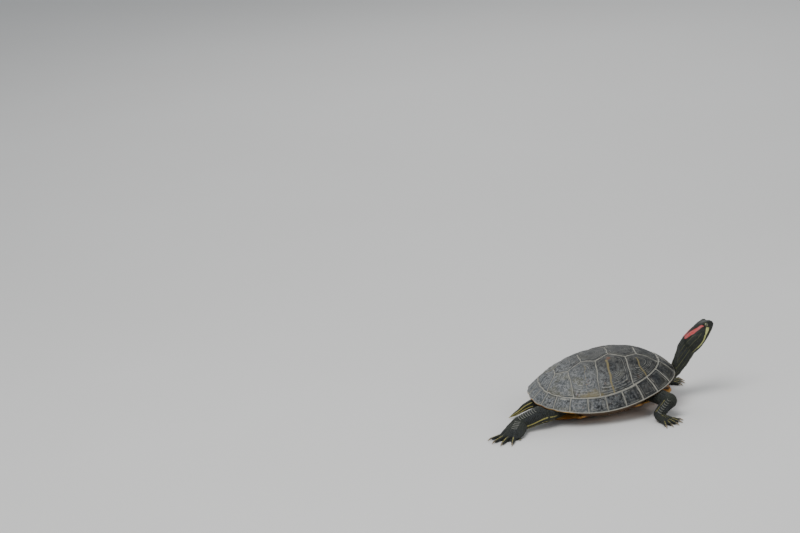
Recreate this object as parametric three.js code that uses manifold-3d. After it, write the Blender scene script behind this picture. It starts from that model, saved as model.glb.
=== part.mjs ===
// A red-eared slider turtle at life size, basking with its neck raised and one hind leg stretched out behind.
// Millimetres, +X towards the head, +Y to its left, +Z up. The floor is Z = 0, and the origin is the middle
// of the flat under the rear of the plastron, where the belly rests. Every plate of the shell is a solid, and
// so are the trunk inside it, the head, jaw, eyes, neck and tail, and the three lengths of each leg.
import * as THREE from "three";
import { mergeVertices } from "three/addons/utils/BufferGeometryUtils.js";
import Module from "manifold-3d";

const wasm = await Module();
wasm.setup();

const { PI, abs, atan2, cos, exp, floor, hypot, max, min, sign, sin, tan } = Math;
const RAD = PI / 180;
const vec = (x, y, z) => new THREE.Vector3(x, y, z);
const vec2 = (x, y) => new THREE.Vector2(x, y);
const mix = (a, b, t) => a + (b - a) * t;
const smooth = (from, to, value) => {
  const t = min(1, max(0, (value - from) / (to - from)));
  return t * t * (3 - 2 * t);
};

// ---- Driving dimensions ----
const shellPitchDeg = 5; // the front legs prop the shell up by this much
const shellMiddleX = -7.5; // the plan's centre in the shell's own frame, where Z = 0 is under the plastron
const shellReach = { front: 92.5, rear: 77.5, side: 65.3 }; // from that centre to the rim
const outlinePower = 2.43; // squareness of the plan
const domeHeight = 61.6;
const domePower = 2.29;
const domeFall = { side: 0.68, front: 0.915, rear: 1.02 }; // under 1 falls steeply at the rim, over 1 flares
const domeLean = 7.6; // carries the fullest part of the dome forwards
const rimWave = [19.8, -2.45, 6.95, 0.45]; // the rim's height as a cosine series of the bearing
const plateThickness = 4;
const plateGap = 0.32; // between scutes
const fleshGap = 0.35; // between flesh and the shell, and between lengths of a limb
const trunkGap = 0.8; // under the plates, whose flat facets dip below the true dome
const sides = { left: 1, right: -1 };
const plateRelief = 0.7; // how far a scute's edge lies below its middle
const beltShare = { middle: 0.865, swing: 0.045 }; // the marginals' inner edge, as a share of the rim's reach
const rimThickness = 1.9;
const costalTip = 0.05; // cut off the pointed ends of the first and last costals, as a share of their length
const scallopDepth = 1.3; // of the notched rear rim
const plastronReach = { front: 79.5, rear: 77 };
const plastronLobe = 37.5; // half width of its front and rear lobes
const plastronThickness = 4.8;
const bridgeInset = 9.9; // from the rim in to the plastron's wing
const bridgeRise = 7.3;
const bellyFlat = { from: -62, to: -76 }; // the stretch of plastron that the floor cuts flat
const headLength = 41.5;
const headRaiseDeg = 43;
const nape = vec(169.4, 0, 58.8); // where the neck meets the head
const eyeRadius = 3.3;
const eyePlace = vec(33.8, 7.5, 4.7); // from the nape, along the head

// Bearings of the seams between the marginals, from straight ahead to straight behind, in degrees.
const marginalSeams = [2, 11.5, 26, 40, 53.5, 69.5, 88, 107, 124.5, 139.5, 152.5, 166, 180];

// Where the seams of the dome end, in plan on the left half: the vertebrals' narrow places and their corners.
const vertebralWaists = [vec2(43.8, 13), vec2(11.4, 12.4), vec2(-21, 12), vec2(-51.8, 7.6)];
const vertebralCorners = [vec2(29.4, 21.7), vec2(-5.2, 20.9), vec2(-38.2, 19.5)];
const firstVertebralSide = vec2(58, 13.5);
const costalSeams = [13.7, 55.5, 93, 121.3, 155.1]; // bearings at which the seams meet the belt

// Head sections from the nape to the snout: distance, half width, top and bottom.
const headSections = [
  [0, 12, 11, -10.4],
  [6, 13, 11.6, -11],
  [13, 13.4, 11.6, -11],
  [20, 12.7, 11.2, -10.1],
  [26, 11.3, 10.7, -9],
  [31, 9.5, 9.6, -7.9],
  [35.5, 7, 7.2, -6.7],
  [39, 4.3, 3.9, -5.3],
  [headLength, 1.8, 0.8, -3.5],
];
const headSquareness = 0.86; // under 1 squares the sections' shoulders
const mouthLine = [vec2(44, -1.9), vec2(38.5, -2.4), vec2(32, -3.2), vec2(26, -3.4), vec2(22, -4.4)];
const jawUnderside = [vec2(18, -8), vec2(16, -15), vec2(44, -15)];

// Neck and tail: the middle line, with the half width and half depth.
const neckStations = [
  { at: vec(112, 0, 25), wide: 14, deep: 9 },
  { at: vec(127, 0, 26.5), wide: 14, deep: 9.3 },
  { at: vec(144, 0, 31), wide: 13.4, deep: 11 },
  { at: vec(158.5, 0, 44), wide: 12, deep: 10.8 },
  { at: nape, wide: 12, deep: 10.8 },
];
const tailStations = [
  { at: vec(14, 0, 17), wide: 9, deep: 8 },
  { at: vec(-8, 0, 15.5), wide: 7, deep: 6.6 },
  { at: vec(-22, -1, 12), wide: 4.9, deep: 4.8 },
  { at: vec(-33, -2, 6.3), wide: 3.2, deep: 3.1 },
  { at: vec(-44, -3, 1.6), wide: 1, deep: 1 },
];

// Legs: shoulder or hip, elbow or knee, wrist or ankle, then the foot's heading. Y counts outwards from the
// middle, and a heading of 0 points ahead and 90 outwards. The hint turns a limb's depth.
const legs = {
  front_right: { joints: [[115, 28, 20], [134, 62, 19.5], [118, 71, 7.5]], heading: 50, hint: [0, 0.6, 1] },
  front_left: { joints: [[113, 26, 21], [133, 54, 23], [142, 47, 7.5]], heading: 4, hint: [0, 0.6, 1] },
  hind_right: { joints: [[20, 26, 16], [-8, 45, 17.5], [-37.5, 48.5, 9.6]], heading: 126, hint: [0, 0, 1] },
  hind_left: { joints: [[22, 26, 16], [14, 53, 18.5], [32, 61, 9.6]], heading: 82, hint: [0.3, 0.3, 1] },
};
const frontLeg = {
  wide: [10, 9, 7.2, 6],
  deep: [8.5, 8.6, 6.6, 5.6],
  palm: { length: 15, wide: 8.6, deep: [4.8, 3.5, 2.2] },
  toe: { lengths: [11.5, 12.5, 13, 12.5, 11.5], spread: 78, web: 0.4, claws: 5, claw: 7 },
};
const hindLeg = {
  wide: [12, 12, 10.4, 9.3],
  deep: [9, 11.6, 10, 9],
  palm: { length: 25, wide: 14.5, deep: [6.8, 4.6, 2.8] },
  toe: { lengths: [20, 23.5, 25, 23, 12], spread: 76, web: 0.75, claws: 4, claw: 6.5 },
};

// ---- Solids ----
// A closed geometry from shared points and faces, turned so that the faces point out.
function closedGeometry(points, faces) {
  const index = [];
  for (const face of faces) {
    for (let i = 1; i + 1 < face.length; i++) index.push(face[0], face[i], face[i + 1]);
  }
  let volume = 0;
  for (let i = 0; i < index.length; i += 3) {
    const [a, b, c] = index.slice(i, i + 3).map((k) => points[k]);
    volume += a.dot(b.clone().cross(c));
  }
  if (volume < 0) index.reverse();
  const geometry = new THREE.BufferGeometry().setFromPoints(points);
  return geometry.setIndex(index);
}

// The solid between two grids of points with the same rows and columns.
function gridSolid(top, bottom) {
  const row = top[0].length;
  const layer = top.length * row;
  const faces = [];
  for (let i = 0; i + 1 < top.length; i++) {
    for (let j = 0; j + 1 < row; j++) {
      const corner = i * row + j;
      const quad = [corner, corner + 1, corner + row + 1, corner + row];
      faces.push(quad, quad.map((k) => k + layer).reverse());
    }
  }
  const loop = gridBorder(top.length, row).map(([i, j]) => i * row + j);
  loop.forEach((a, k) => {
    const b = loop[(k + 1) % loop.length];
    faces.push([b, a, a + layer, b + layer]);
  });
  return closedGeometry([...top.flat(), ...bottom.flat()], faces);
}

// The places round the border of a grid, in the order in which its faces wind.
function gridBorder(rows, columns) {
  const border = [];
  for (let j = 0; j < columns - 1; j++) border.push([0, j]);
  for (let i = 0; i < rows - 1; i++) border.push([i, columns - 1]);
  for (let j = columns - 1; j > 0; j--) border.push([rows - 1, j]);
  for (let i = rows - 1; i > 0; i--) border.push([i, 0]);
  return border;
}

const list = (length, make) => Array.from({ length }, (_, i) => make(i));
const grid = (rows, columns, point) =>
  list(rows + 1, (i) => list(columns + 1, (j) => point(i / rows, j / columns)));

// The solid through rings of points, closed at both ends.
function ringSolid(rings) {
  const sides = rings[0].length;
  const points = rings.flat();
  const faces = [];
  for (let here = 0; here + sides < points.length; here += sides) {
    for (let j = 0; j < sides; j++) {
      const k = (j + 1) % sides;
      faces.push([here + j, here + k, here + sides + k, here + sides + j]);
    }
  }
  faces.push(list(sides, (j) => sides - 1 - j));
  faces.push(list(sides, (j) => points.length - sides + j));
  return closedGeometry(points, faces);
}

// A limb through stations of { at, wide, deep }, whose depth lies along the hint.
function limb(stations, hint, { from = 0, to = 1, steps = 4, sides = 10, grow = 0 } = {}) {
  const path = new THREE.CatmullRomCurve3(stations.map((station) => station.at));
  const size = (t, key) => {
    const place = t * (stations.length - 1);
    const i = min(stations.length - 2, floor(place));
    return mix(stations[i][key], stations[i + 1][key], smooth(0, 1, place - i)) + grow;
  };
  const rings = [];
  for (let i = 0; i <= steps; i++) {
    const t = mix(from, to, i / steps);
    const tangent = path.getTangent(t);
    const up = hint.clone().addScaledVector(tangent, -hint.dot(tangent)).normalize();
    const side = tangent.clone().cross(up);
    const around = (j) => {
      const angle = (2 * PI * j) / sides;
      const point = path.getPoint(t).addScaledVector(side, size(t, "wide") * cos(angle));
      return point.addScaledVector(up, size(t, "deep") * sin(angle));
    };
    rings.push(list(sides, around));
  }
  return solidOf(ringSolid(rings));
}

function solidOf(geometry) {
  const bare = geometry.clone();
  bare.deleteAttribute("normal");
  bare.deleteAttribute("uv");
  const merged = mergeVertices(bare, 1e-4);
  const vertProperties = merged.getAttribute("position").array;
  const triVerts = new Uint32Array(merged.index.array);
  return new wasm.Manifold(new wasm.Mesh({ numProp: 3, vertProperties, triVerts }));
}

function geometryOf(solid) {
  const mesh = solid.getMesh();
  const geometry = new THREE.BufferGeometry();
  geometry.setAttribute("position", new THREE.BufferAttribute(mesh.vertProperties, 3));
  return geometry.setIndex([...mesh.triVerts]);
}

const joined = (solids) => solids.reduce((sum, solid) => sum.add(solid));
const cutBy = (solid, cutters) => cutters.reduce((left, cutter) => left.subtract(cutter), solid);
const larger = (a, b) => (b.volume() > a.volume() ? b : a);
const largestBody = (solid) => solid.decompose().reduce(larger);
const box = (size, middle) => solidOf(new THREE.BoxGeometry(...size).translate(...middle));

// ---- The shell's surface, in the shell's own frame ----
const rimHeight = (bearing) => rimWave.reduce((sum, swing, k) => sum + swing * cos(k * bearing), 0);
const degreesOff = (bearing) => abs(atan2(sin(bearing), cos(bearing))) / RAD; // from straight ahead

function rimReach(bearing) {
  const ahead = cos(bearing) > 0 ? shellReach.front : shellReach.rear;
  const lengthwise = abs(cos(bearing) / ahead) ** outlinePower;
  const crosswise = abs(sin(bearing) / shellReach.side) ** outlinePower;
  const degrees = degreesOff(bearing);
  const plate = marginalSeams.findLastIndex((seam) => seam <= degrees);
  const [from, to] = [marginalSeams[plate] ?? 0, marginalSeams[plate + 1] ?? 180];
  const bulge = to > from ? abs(sin((PI * (degrees - from)) / (to - from))) : 0;
  const scallop = scallopDepth * smooth(95, 140, degrees) * (bulge - 0.6);
  return (lengthwise + crosswise) ** (-1 / outlinePower) + scallop;
}

function domePoint(share, bearing) {
  const c = cos(bearing);
  const fall = mix(domeFall.side, c > 0 ? domeFall.front : domeFall.rear, c * c);
  const height = (1 - share ** domePower) ** fall;
  const rim = rimHeight(bearing);
  const reach = share * rimReach(bearing);
  const z = rim + (domeHeight - rim) * height + domeLean * share * c * (1 - share * share);
  return vec(shellMiddleX + reach * c, reach * sin(bearing), z);
}

// The dome's point moved along its normal by lift.
function domeLifted(share, bearing, lift) {
  const step = 0.004;
  const near = min(share, 1 - step);
  const outwards = domePoint(near + step, bearing).sub(domePoint(near - step, bearing));
  const around = domePoint(near, bearing + step).sub(domePoint(near, bearing - step));
  return domePoint(share, bearing).addScaledVector(outwards.cross(around).normalize(), lift);
}

function domeOver(plan, lift) {
  const bearing = atan2(plan.y, plan.x - shellMiddleX);
  const share = max(0.02, hypot(plan.x - shellMiddleX, plan.y) / rimReach(bearing));
  return domeLifted(share, bearing, lift);
}

const beltAt = (bearing) => beltShare.middle - beltShare.swing * cos(2 * bearing);

// The belt's plan point at a bearing in degrees, on the left for a side of 1 and the right for -1.
function beltPoint(degrees, side) {
  const bearing = side * degrees * RAD;
  const reach = beltAt(bearing) * rimReach(bearing);
  return vec2(shellMiddleX + reach * cos(bearing), reach * sin(bearing));
}

// ---- Scutes of the dome ----
const onSide = (plan, side) => vec2(plan.x, side * plan.y);

// The point at a share of the way along a line of plan points, each stretch counting alike.
function alongLine(points) {
  return (t) => {
    const place = t * (points.length - 1);
    const i = min(points.length - 2, floor(place));
    return points[i].clone().lerp(points[i + 1], place - i);
  };
}

// The plan points of a grid with its border moved in, square to each edge.
function inset(plan, distance) {
  const border = gridBorder(plan.length, plan[0].length);
  const moved = plan.map((row) => row.map((point) => point.clone()));
  const middle = plan[floor(plan.length / 2)][floor(plan[0].length / 2)];
  border.forEach(([i, j], k) => {
    const [here, before, after] = [0, -1, 1].map((step) => {
      const [a, b] = border.at((k + step) % border.length);
      return plan[a][b];
    });
    const normal = (from, to) => vec2(from.y - to.y, to.x - from.x).normalize();
    const mitre = normal(before, here).add(normal(here, after)).normalize();
    const inwards = sign(middle.clone().sub(here).dot(mitre));
    moved[i][j].addScaledVector(mitre, (inwards * distance) / max(0.35, mitre.dot(normal(here, after))));
  });
  return moved;
}

// A scute over the plan between two lines that run from its front to its rear.
function scuteGeometry(inner, outer, { front = 0, rear = 1, bow = 0 } = {}) {
  const rows = 6;
  const columns = 4;
  const plan = grid(rows, columns, (u, v) => {
    const t = mix(front, rear, u);
    const point = inner(t).lerp(outer(t), v);
    const bulge = (1 - (2 * v - 1) ** 2) * (bow > 0 ? 1 - u : u) ** 1.5;
    point.x += bow * bulge;
    return point;
  });
  const relief = (i, j) => -plateRelief * max(abs((2 * i) / rows - 1), abs((2 * j) / columns - 1)) ** 5;
  const shrunk = inset(plan, plateGap / 2);
  const top = shrunk.map((row, i) => row.map((point, j) => domeOver(point, relief(i, j))));
  const bottom = shrunk.map((row) => row.map((point) => domeOver(point, -plateThickness)));
  return gridSolid(top, bottom);
}

function vertebralGeometry(i) {
  const edge = (side) => {
    const front = i === 0 ? beltPoint(costalSeams[0], side) : onSide(vertebralWaists[i - 1], side);
    const rear = i === 4 ? beltPoint(costalSeams[4], side) : onSide(vertebralWaists[i], side);
    if (i === 4) return alongLine([front, rear]);
    return alongLine([front, onSide(i === 0 ? firstVertebralSide : vertebralCorners[i - 1], side), rear]);
  };
  // The first and last reach past their corners, to the curve of the belt.
  const bowTo = (degrees, corner) => beltPoint(degrees, 1).x - beltPoint(corner, 1).x;
  const bow = { 0: bowTo(0, costalSeams[0]), 4: bowTo(180, costalSeams[4]) }[i] ?? 0;
  return scuteGeometry(edge(1), edge(-1), { bow });
}

function costalGeometry(i, side) {
  const corners = [
    [beltPoint(costalSeams[0], 1), firstVertebralSide, vertebralWaists[0], vertebralCorners[0]],
    [vertebralCorners[0], vertebralWaists[1], vertebralCorners[1]],
    [vertebralCorners[1], vertebralWaists[2], vertebralCorners[2]],
    [vertebralCorners[2], vertebralWaists[3], beltPoint(costalSeams[4], 1)],
  ][i];
  const inner = alongLine(corners.map((corner) => onSide(corner, side)));
  const outer = (t) => beltPoint(mix(costalSeams[i], costalSeams[i + 1], t), side);
  return scuteGeometry(inner, outer, { front: i === 0 ? costalTip : 0, rear: i === 3 ? 1 - costalTip : 1 });
}

// ---- Marginals: each a wedge from the dome out to the rim and back underneath ----
const overBridge = (degrees) => smooth(42, 56, degrees) * (1 - smooth(112, 128, degrees));
const marginalRoot = (bearing, grow) => beltAt(bearing) + (plateGap - grow) / rimReach(bearing);

function marginalTop(bearing, v, grow) {
  const relief = v === 0 ? plateRelief : 0;
  return domeLifted(mix(marginalRoot(bearing, grow), 1, v), bearing, grow - relief);
}

function marginalUnderside(bearing, v, grow) {
  const bridge = overBridge(degreesOff(bearing));
  const reach = rimReach(bearing);
  const rim = rimHeight(bearing);
  const root = domeLifted(marginalRoot(bearing, grow), bearing, -plateThickness);
  const line = [
    vec2(hypot(root.x - shellMiddleX, root.y), root.z),
    vec2(reach - mix(13, 9, bridge), rim + mix(1.2, -6, bridge)),
    vec2(reach - mix(7, 5, bridge), rim + mix(-0.9, -5, bridge)),
    vec2(reach - 0.6, rim - rimThickness),
  ];
  const point = alongLine(line)(v);
  point.x -= grow * (1 - v);
  return vec(shellMiddleX + point.x * cos(bearing), point.x * sin(bearing), point.y - grow);
}

function marginalGeometry(from, to, side, grow = 0) {
  const trim = (plateGap / 2 - grow) / rimReach(side * from * RAD) / RAD;
  const bearing = (u) => side * mix(from + trim, to - trim, u) * RAD;
  const surface = (line) => grid(2, 3, (u, v) => line(bearing(u), v, grow));
  return gridSolid(surface(marginalTop), surface(marginalUnderside));
}

// The nuchal and the pairs behind it, as [name, from, to, side].
const marginals = [["nuchal", -marginalSeams[0], marginalSeams[0], 1]];
for (const [name, side] of Object.entries(sides)) {
  for (let i = 0; i < 12; i++) {
    marginals.push([`marginal_${name}_${i + 1}`, marginalSeams[i], marginalSeams[i + 1], side]);
  }
}

// ---- Plastron ----
function plastronHalfWidth(x) {
  const lobe = plastronLobe * (1 - abs(x / (x > 0 ? plastronReach.front : plastronReach.rear)) ** 3.2) ** 0.5;
  const reach = shellReach.front - bridgeInset;
  const fall = max(0, 1 - abs((x - shellMiddleX) / reach) ** outlinePower) ** (1 / outlinePower);
  const bridge = (shellReach.side - bridgeInset) * fall;
  return mix(lobe, bridge, smooth(40, 33, x) * smooth(-41, -34, x));
}

function plastronPoint(u, v, isTop, grow) {
  const x = mix(plastronReach.front, -plastronReach.rear, mix(0.006, 0.994, 0.5 - 0.5 * cos(PI * u)));
  const across = 2 * v - 1;
  const y = across * (plastronHalfWidth(x) + grow);
  const notch = 2.5 * exp(-((y / 7) ** 2)) * (smooth(-64, -77, x) - smooth(62, 78, x));
  const rise = bridgeRise * smooth(34, 60, abs(y));
  const thickness = plastronThickness * (1 - 0.35 * smooth(0.75, 1, abs(across)) - 0.25 * smooth(55, 78, x));
  return vec(x + notch, y, rise + (isTop ? thickness + grow : -grow));
}

function plastronGeometry(grow = 0) {
  const surface = (isTop) => grid(14, 6, (u, v) => plastronPoint(u, v, isTop, grow));
  return gridSolid(surface(true), surface(false));
}

// ---- Trunk: the flesh that fills the shell, seen in its openings before and behind ----
function trunkGeometry(grow = 0) {
  const sides = 28;
  const ring = (point) => list(sides, (j) => point((2 * PI * j) / sides));
  const out = (bearing, reach, z) => vec(shellMiddleX + reach * cos(bearing), reach * sin(bearing), z);
  const bridgeAt = (bearing) => overBridge(degreesOff(bearing));
  const under = grow - plateThickness - trunkGap;
  const roof = [0.15, 0.42, 0.7, 0.96].map((share) =>
    ring((bearing) => domeLifted(share * beltAt(bearing), bearing, under)),
  );
  const flank = ring((bearing) => {
    const inwards = mix(19, 11, bridgeAt(bearing)) - grow;
    return out(bearing, rimReach(bearing) - inwards, rimHeight(bearing) + mix(1.5, -2, bridgeAt(bearing)));
  });
  const underside = ring((bearing) => {
    const z = plastronThickness + 2 * trunkGap + 2 * bridgeAt(bearing) - grow;
    return out(bearing, 0.6 * rimReach(bearing) + grow, z);
  });
  return ringSolid([...roof, flank, underside]);
}

// ---- Head, along +X from the nape ----
function headHull(grow = 0) {
  const sides = 14;
  const rounded = (wave) => sign(wave) * abs(wave) ** headSquareness;
  const rings = headSections.map(([x, wide, top, bottom]) =>
    list(sides, (j) => {
      const angle = (2 * PI * j) / sides;
      const tall = sin(angle) > 0 ? top : -bottom;
      return vec(x - grow, (wide + grow) * rounded(cos(angle)), (tall + grow) * rounded(sin(angle)));
    }),
  );
  return ringSolid(rings);
}

// The lower jaw's side view as a block, grown by a gap where it cuts the head.
function jawBlock(gap) {
  const lip = mouthLine.map((point) => vec2(point.x, point.y + gap));
  const underside = jawUnderside.map((point, i) => vec2(point.x - (i < 2 ? gap : 0), point.y));
  const outline = new THREE.Shape([...lip, ...underside]);
  const block = new THREE.ExtrudeGeometry(outline, { depth: 40, bevelEnabled: false });
  return solidOf(block.translate(0, 0, -20).rotateX(PI / 2));
}

const ball = (radius, around, down, at) => new THREE.SphereGeometry(radius, around, down).translate(...at);
const eyeball = (side, grow) => ball(eyeRadius + grow, 10, 8, [eyePlace.x, side * eyePlace.y, eyePlace.z]);

// ---- Legs ----
// Stations at the shoulder or hip, the elbow or knee and the wrist or ankle, with one between each pair.
function legStations(leg) {
  const joints = leg.joints.map(([x, y, z]) => vec(x, leg.side * y, z));
  const halfway = (list, i) => mix(list[i], list[i + 1], 0.5);
  return [
    { at: joints[0], wide: leg.wide[0], deep: leg.deep[0] },
    { at: joints[0].clone().lerp(joints[1], 0.5), wide: halfway(leg.wide, 0), deep: halfway(leg.deep, 0) },
    { at: joints[1], wide: leg.wide[1], deep: leg.deep[1] },
    { at: joints[1].clone().lerp(joints[2], 0.5), wide: leg.wide[2], deep: leg.deep[2] },
    { at: joints[2], wide: leg.wide[3], deep: leg.deep[3] },
  ];
}

// The upper leg ends in a round elbow or knee.
function upperLeg(stations, hint, grow = 0) {
  const joint = stations[2];
  const shaft = limb(stations.slice(0, 3), hint, { to: grow > 0 ? 1 : 0.96, steps: 2, sides: 8, grow });
  return shaft.add(solidOf(ball(joint.wide + grow, 8, 6, joint.at)));
}

const outFrom = (start, distance, angle, z) =>
  vec(start.x + distance * cos(angle), start.y + distance * sin(angle), z);

// The palm or sole runs down from the ankle to the floor along the foot's heading.
function palmSolid(leg, ankle, grow = 0) {
  const heading = leg.side * leg.heading * RAD;
  const stations = [[0.4, 0.9], [0.8, 1], [1.15, 0.8]].map(([share, width], i) => {
    const deep = leg.palm.deep[i];
    const at = outFrom(ankle.at, leg.palm.length * share, heading, deep);
    return { at, wide: leg.palm.wide * width, deep };
  });
  return limb([ankle, ...stations], vec(0, 0, 1), { from: grow > 0 ? 0 : 0.04, steps: 4, sides: 8, grow });
}

// A foot is its palm, five toes, the claws on them and the web between them, joined.
function footSolid(leg, ankle) {
  const heading = leg.side * leg.heading * RAD;
  const up = vec(0, 0, 1);
  const pieces = [palmSolid(leg, ankle)];
  const webEdge = [outFrom(ankle.at, leg.palm.length * 0.3, heading, 0)];
  leg.toe.lengths.forEach((length, i) => {
    const turn = (0.5 - i / 4) * leg.toe.spread * RAD * leg.side;
    const base = outFrom(ankle.at, leg.palm.length * 0.75, heading + turn * 0.5, 2.6);
    const tip = outFrom(base, length, heading + turn, 1.8);
    const toe = [{ at: base, wide: 2.6, deep: 2.4 }, { at: tip, wide: 1.8, deep: 1.6 }];
    if (i < leg.toe.claws) {
      toe.push({ at: outFrom(tip, leg.toe.claw * 0.25, heading + turn, 1.8), wide: 1.1, deep: 1.1 });
      toe.push({ at: outFrom(tip, leg.toe.claw, heading + turn, 0.5), wide: 0.3, deep: 0.3 });
    }
    pieces.push(limb(toe, up, { steps: toe.length - 1, sides: 5 }));
    webEdge.push(outFrom(base, length * leg.toe.web, heading + turn, 0));
  });
  const webOutline = new THREE.Shape(webEdge.map((point) => vec2(point.x, point.y)));
  const web = new THREE.ExtrudeGeometry(webOutline, { depth: 1.6, bevelEnabled: false });
  return joined([...pieces, solidOf(web.translate(0, 0, 0.6))]);
}

// ---- Materials ----
const finish = (color, roughness) => new THREE.MeshStandardMaterial({ color, roughness, metalness: 0 });
const horn = finish(0x3c3e3b, 0.5);
const rimHorn = finish(0x40423d, 0.5);
const bellyHorn = finish(0xa8762c, 0.55);
const skin = finish(0x2b2f2a, 0.6);
const beak = finish(0x3a3f2c, 0.5);
const iris = finish(0x6f7a2a, 0.15);

// ---- The model ----
const turtle = new THREE.Group();

function add(parent, name, geometry, material) {
  const mesh = new THREE.Mesh(geometry, material);
  mesh.name = name;
  parent.add(mesh);
}

// The shell turns nose up about the rear of the plastron, which sinks to the floor and is cut flat there.
const shell = new THREE.Group();
const pitch = shellPitchDeg * RAD;
const flatMiddle = (bellyFlat.from + bellyFlat.to) / 2;
const flatDepth = (bellyFlat.from - flatMiddle) * tan(pitch);
shell.rotation.y = -pitch;
shell.position.copy(vec(-flatMiddle, 0, -flatDepth).applyAxisAngle(vec(0, 1, 0), -pitch));
shell.updateMatrixWorld(true);
turtle.add(shell);

const onFloor = (geometry) => solidOf(geometry.applyMatrix4(shell.matrixWorld));
const underFloor = box([600, 400, 40], [50, 0, -20]);
const rimCutter = joined(marginals.map(([, ...span]) => onFloor(marginalGeometry(...span, fleshGap))));
const plastronCutter = onFloor(plastronGeometry(fleshGap));
const trunkCutter = onFloor(trunkGeometry(fleshGap));
const fleshCutters = [underFloor, trunkCutter, rimCutter, plastronCutter];

for (let i = 0; i < 5; i++) add(shell, `vertebral_${i + 1}`, vertebralGeometry(i), horn);
for (const [name, side] of Object.entries(sides)) {
  for (let i = 0; i < 4; i++) add(shell, `costal_${name}_${i + 1}`, costalGeometry(i, side), horn);
}
for (const [name, ...span] of marginals) add(shell, name, marginalGeometry(...span), rimHorn);
add(turtle, "plastron", geometryOf(onFloor(plastronGeometry()).subtract(underFloor)), bellyHorn);
add(shell, "trunk", trunkGeometry(), skin);

const head = new THREE.Group();
head.position.copy(nape);
head.rotation.y = -headRaiseDeg * RAD;
head.updateMatrixWorld(true);
turtle.add(head);
const hull = solidOf(headHull());
const sockets = Object.values(sides).map((side) => solidOf(eyeball(side, fleshGap)));
add(head, "head", geometryOf(cutBy(hull, [jawBlock(fleshGap), ...sockets])), skin);
add(head, "lower_jaw", geometryOf(cutBy(hull.intersect(jawBlock(0)), sockets)), beak);
for (const [name, side] of Object.entries(sides)) add(head, `eye_${name}`, eyeball(side, 0), iris);

const upwards = vec(0, 0, 1);
const headCutter = solidOf(headHull(fleshGap).applyMatrix4(head.matrixWorld));
const neck = limb(neckStations, upwards, { steps: 6 });
const neckCutter = limb(neckStations, upwards, { steps: 6, grow: fleshGap });
add(turtle, "neck", geometryOf(largestBody(cutBy(neck, [...fleshCutters, headCutter]))), skin);
const tail = limb(tailStations, upwards, { steps: 8, sides: 8 });
add(turtle, "tail", geometryOf(largestBody(cutBy(tail, fleshCutters))), skin);

for (const [name, plan] of Object.entries(legs)) {
  const [end, sideName] = name.split("_");
  const leg = { ...plan, ...(end === "hind" ? hindLeg : frontLeg), side: sides[sideName] };
  const hint = vec(plan.hint[0], leg.side * plan.hint[1], plan.hint[2]).normalize();
  const stations = legStations(leg);
  const lengths = {
    upper_leg: cutBy(upperLeg(stations, hint), [neckCutter, ...fleshCutters]),
    lower_leg: cutBy(limb(stations.slice(2), hint, { steps: 2, sides: 8 }), [
      upperLeg(stations, hint, fleshGap),
      palmSolid(leg, stations[4], fleshGap),
      ...fleshCutters,
    ]),
    foot: cutBy(footSolid(leg, stations[4]), fleshCutters),
  };
  for (const [part, solid] of Object.entries(lengths)) {
    add(turtle, `${part}_${name}`, geometryOf(largestBody(solid)), skin);
  }
}

export default turtle;
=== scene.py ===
"""The looks of a basking red-eared slider turtle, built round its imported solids.

Metres in the meshes, +X towards the head, +Y to its left, +Z up, with the floor at Z = 0. Sizes are named in
millimetres, as a taxidermist would note them, and MM turns them into metres where a mesh is made.
"""

import math

import bmesh
import bpy
import numpy as np
from mathutils import Matrix, Vector
from mathutils.bvhtree import BVHTree


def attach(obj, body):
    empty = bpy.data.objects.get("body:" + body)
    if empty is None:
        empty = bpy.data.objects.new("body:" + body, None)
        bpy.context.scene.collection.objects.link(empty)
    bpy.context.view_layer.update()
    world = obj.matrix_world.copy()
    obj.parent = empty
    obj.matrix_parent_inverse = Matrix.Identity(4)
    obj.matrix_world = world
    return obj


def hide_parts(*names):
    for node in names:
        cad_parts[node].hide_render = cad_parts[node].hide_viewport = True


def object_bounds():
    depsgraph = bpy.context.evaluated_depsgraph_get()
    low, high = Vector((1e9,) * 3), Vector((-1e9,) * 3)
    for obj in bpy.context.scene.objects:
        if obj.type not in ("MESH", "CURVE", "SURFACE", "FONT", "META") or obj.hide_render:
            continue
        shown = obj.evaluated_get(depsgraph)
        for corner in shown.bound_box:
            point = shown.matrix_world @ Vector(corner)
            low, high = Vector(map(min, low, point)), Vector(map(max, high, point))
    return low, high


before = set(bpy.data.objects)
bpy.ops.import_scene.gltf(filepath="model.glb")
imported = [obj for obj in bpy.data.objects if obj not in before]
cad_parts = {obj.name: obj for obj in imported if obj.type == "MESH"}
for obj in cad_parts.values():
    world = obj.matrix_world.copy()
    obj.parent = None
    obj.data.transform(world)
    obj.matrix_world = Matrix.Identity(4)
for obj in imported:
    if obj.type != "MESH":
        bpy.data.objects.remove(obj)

cad_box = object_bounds()
MM = 0.001

# ---- The carapace's scutes ----
# Thirteen thin sheets of horn over the bone of the dome: a row of five along the middle and four on each
# side. Each grows by a new ring round its edge every season, so it carries fine ridges round its oldest patch
# and meets its neighbours in a shallow, pale seam.
SHELL_PITCH = math.radians(5)
SHELL_MIDDLE_X = -7.5
SHELL_REACH = {"front": 92.5, "rear": 77.5, "side": 65.3}
OUTLINE_POWER = 2.43
DOME_HEIGHT = 61.6
DOME_POWER = 2.29
DOME_FALL = {"side": 0.68, "front": 0.915, "rear": 1.02}
DOME_LEAN = 7.6
RIM_WAVE = [19.8, -2.45, 6.95, 0.45]
SCALLOP_DEPTH = 1.3
BELLY_FLAT = {"from": -62, "to": -76}
BELT_SHARE = {"middle": 0.865, "swing": 0.045}
PLATE_THICKNESS = 4
MARGINAL_SEAMS = [2, 11.5, 26, 40, 53.5, 69.5, 88, 107, 124.5, 139.5, 152.5, 166, 180]
VERTEBRAL_WAISTS = [(43.8, 13), (11.4, 12.4), (-21, 12), (-51.8, 7.6)]
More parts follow.
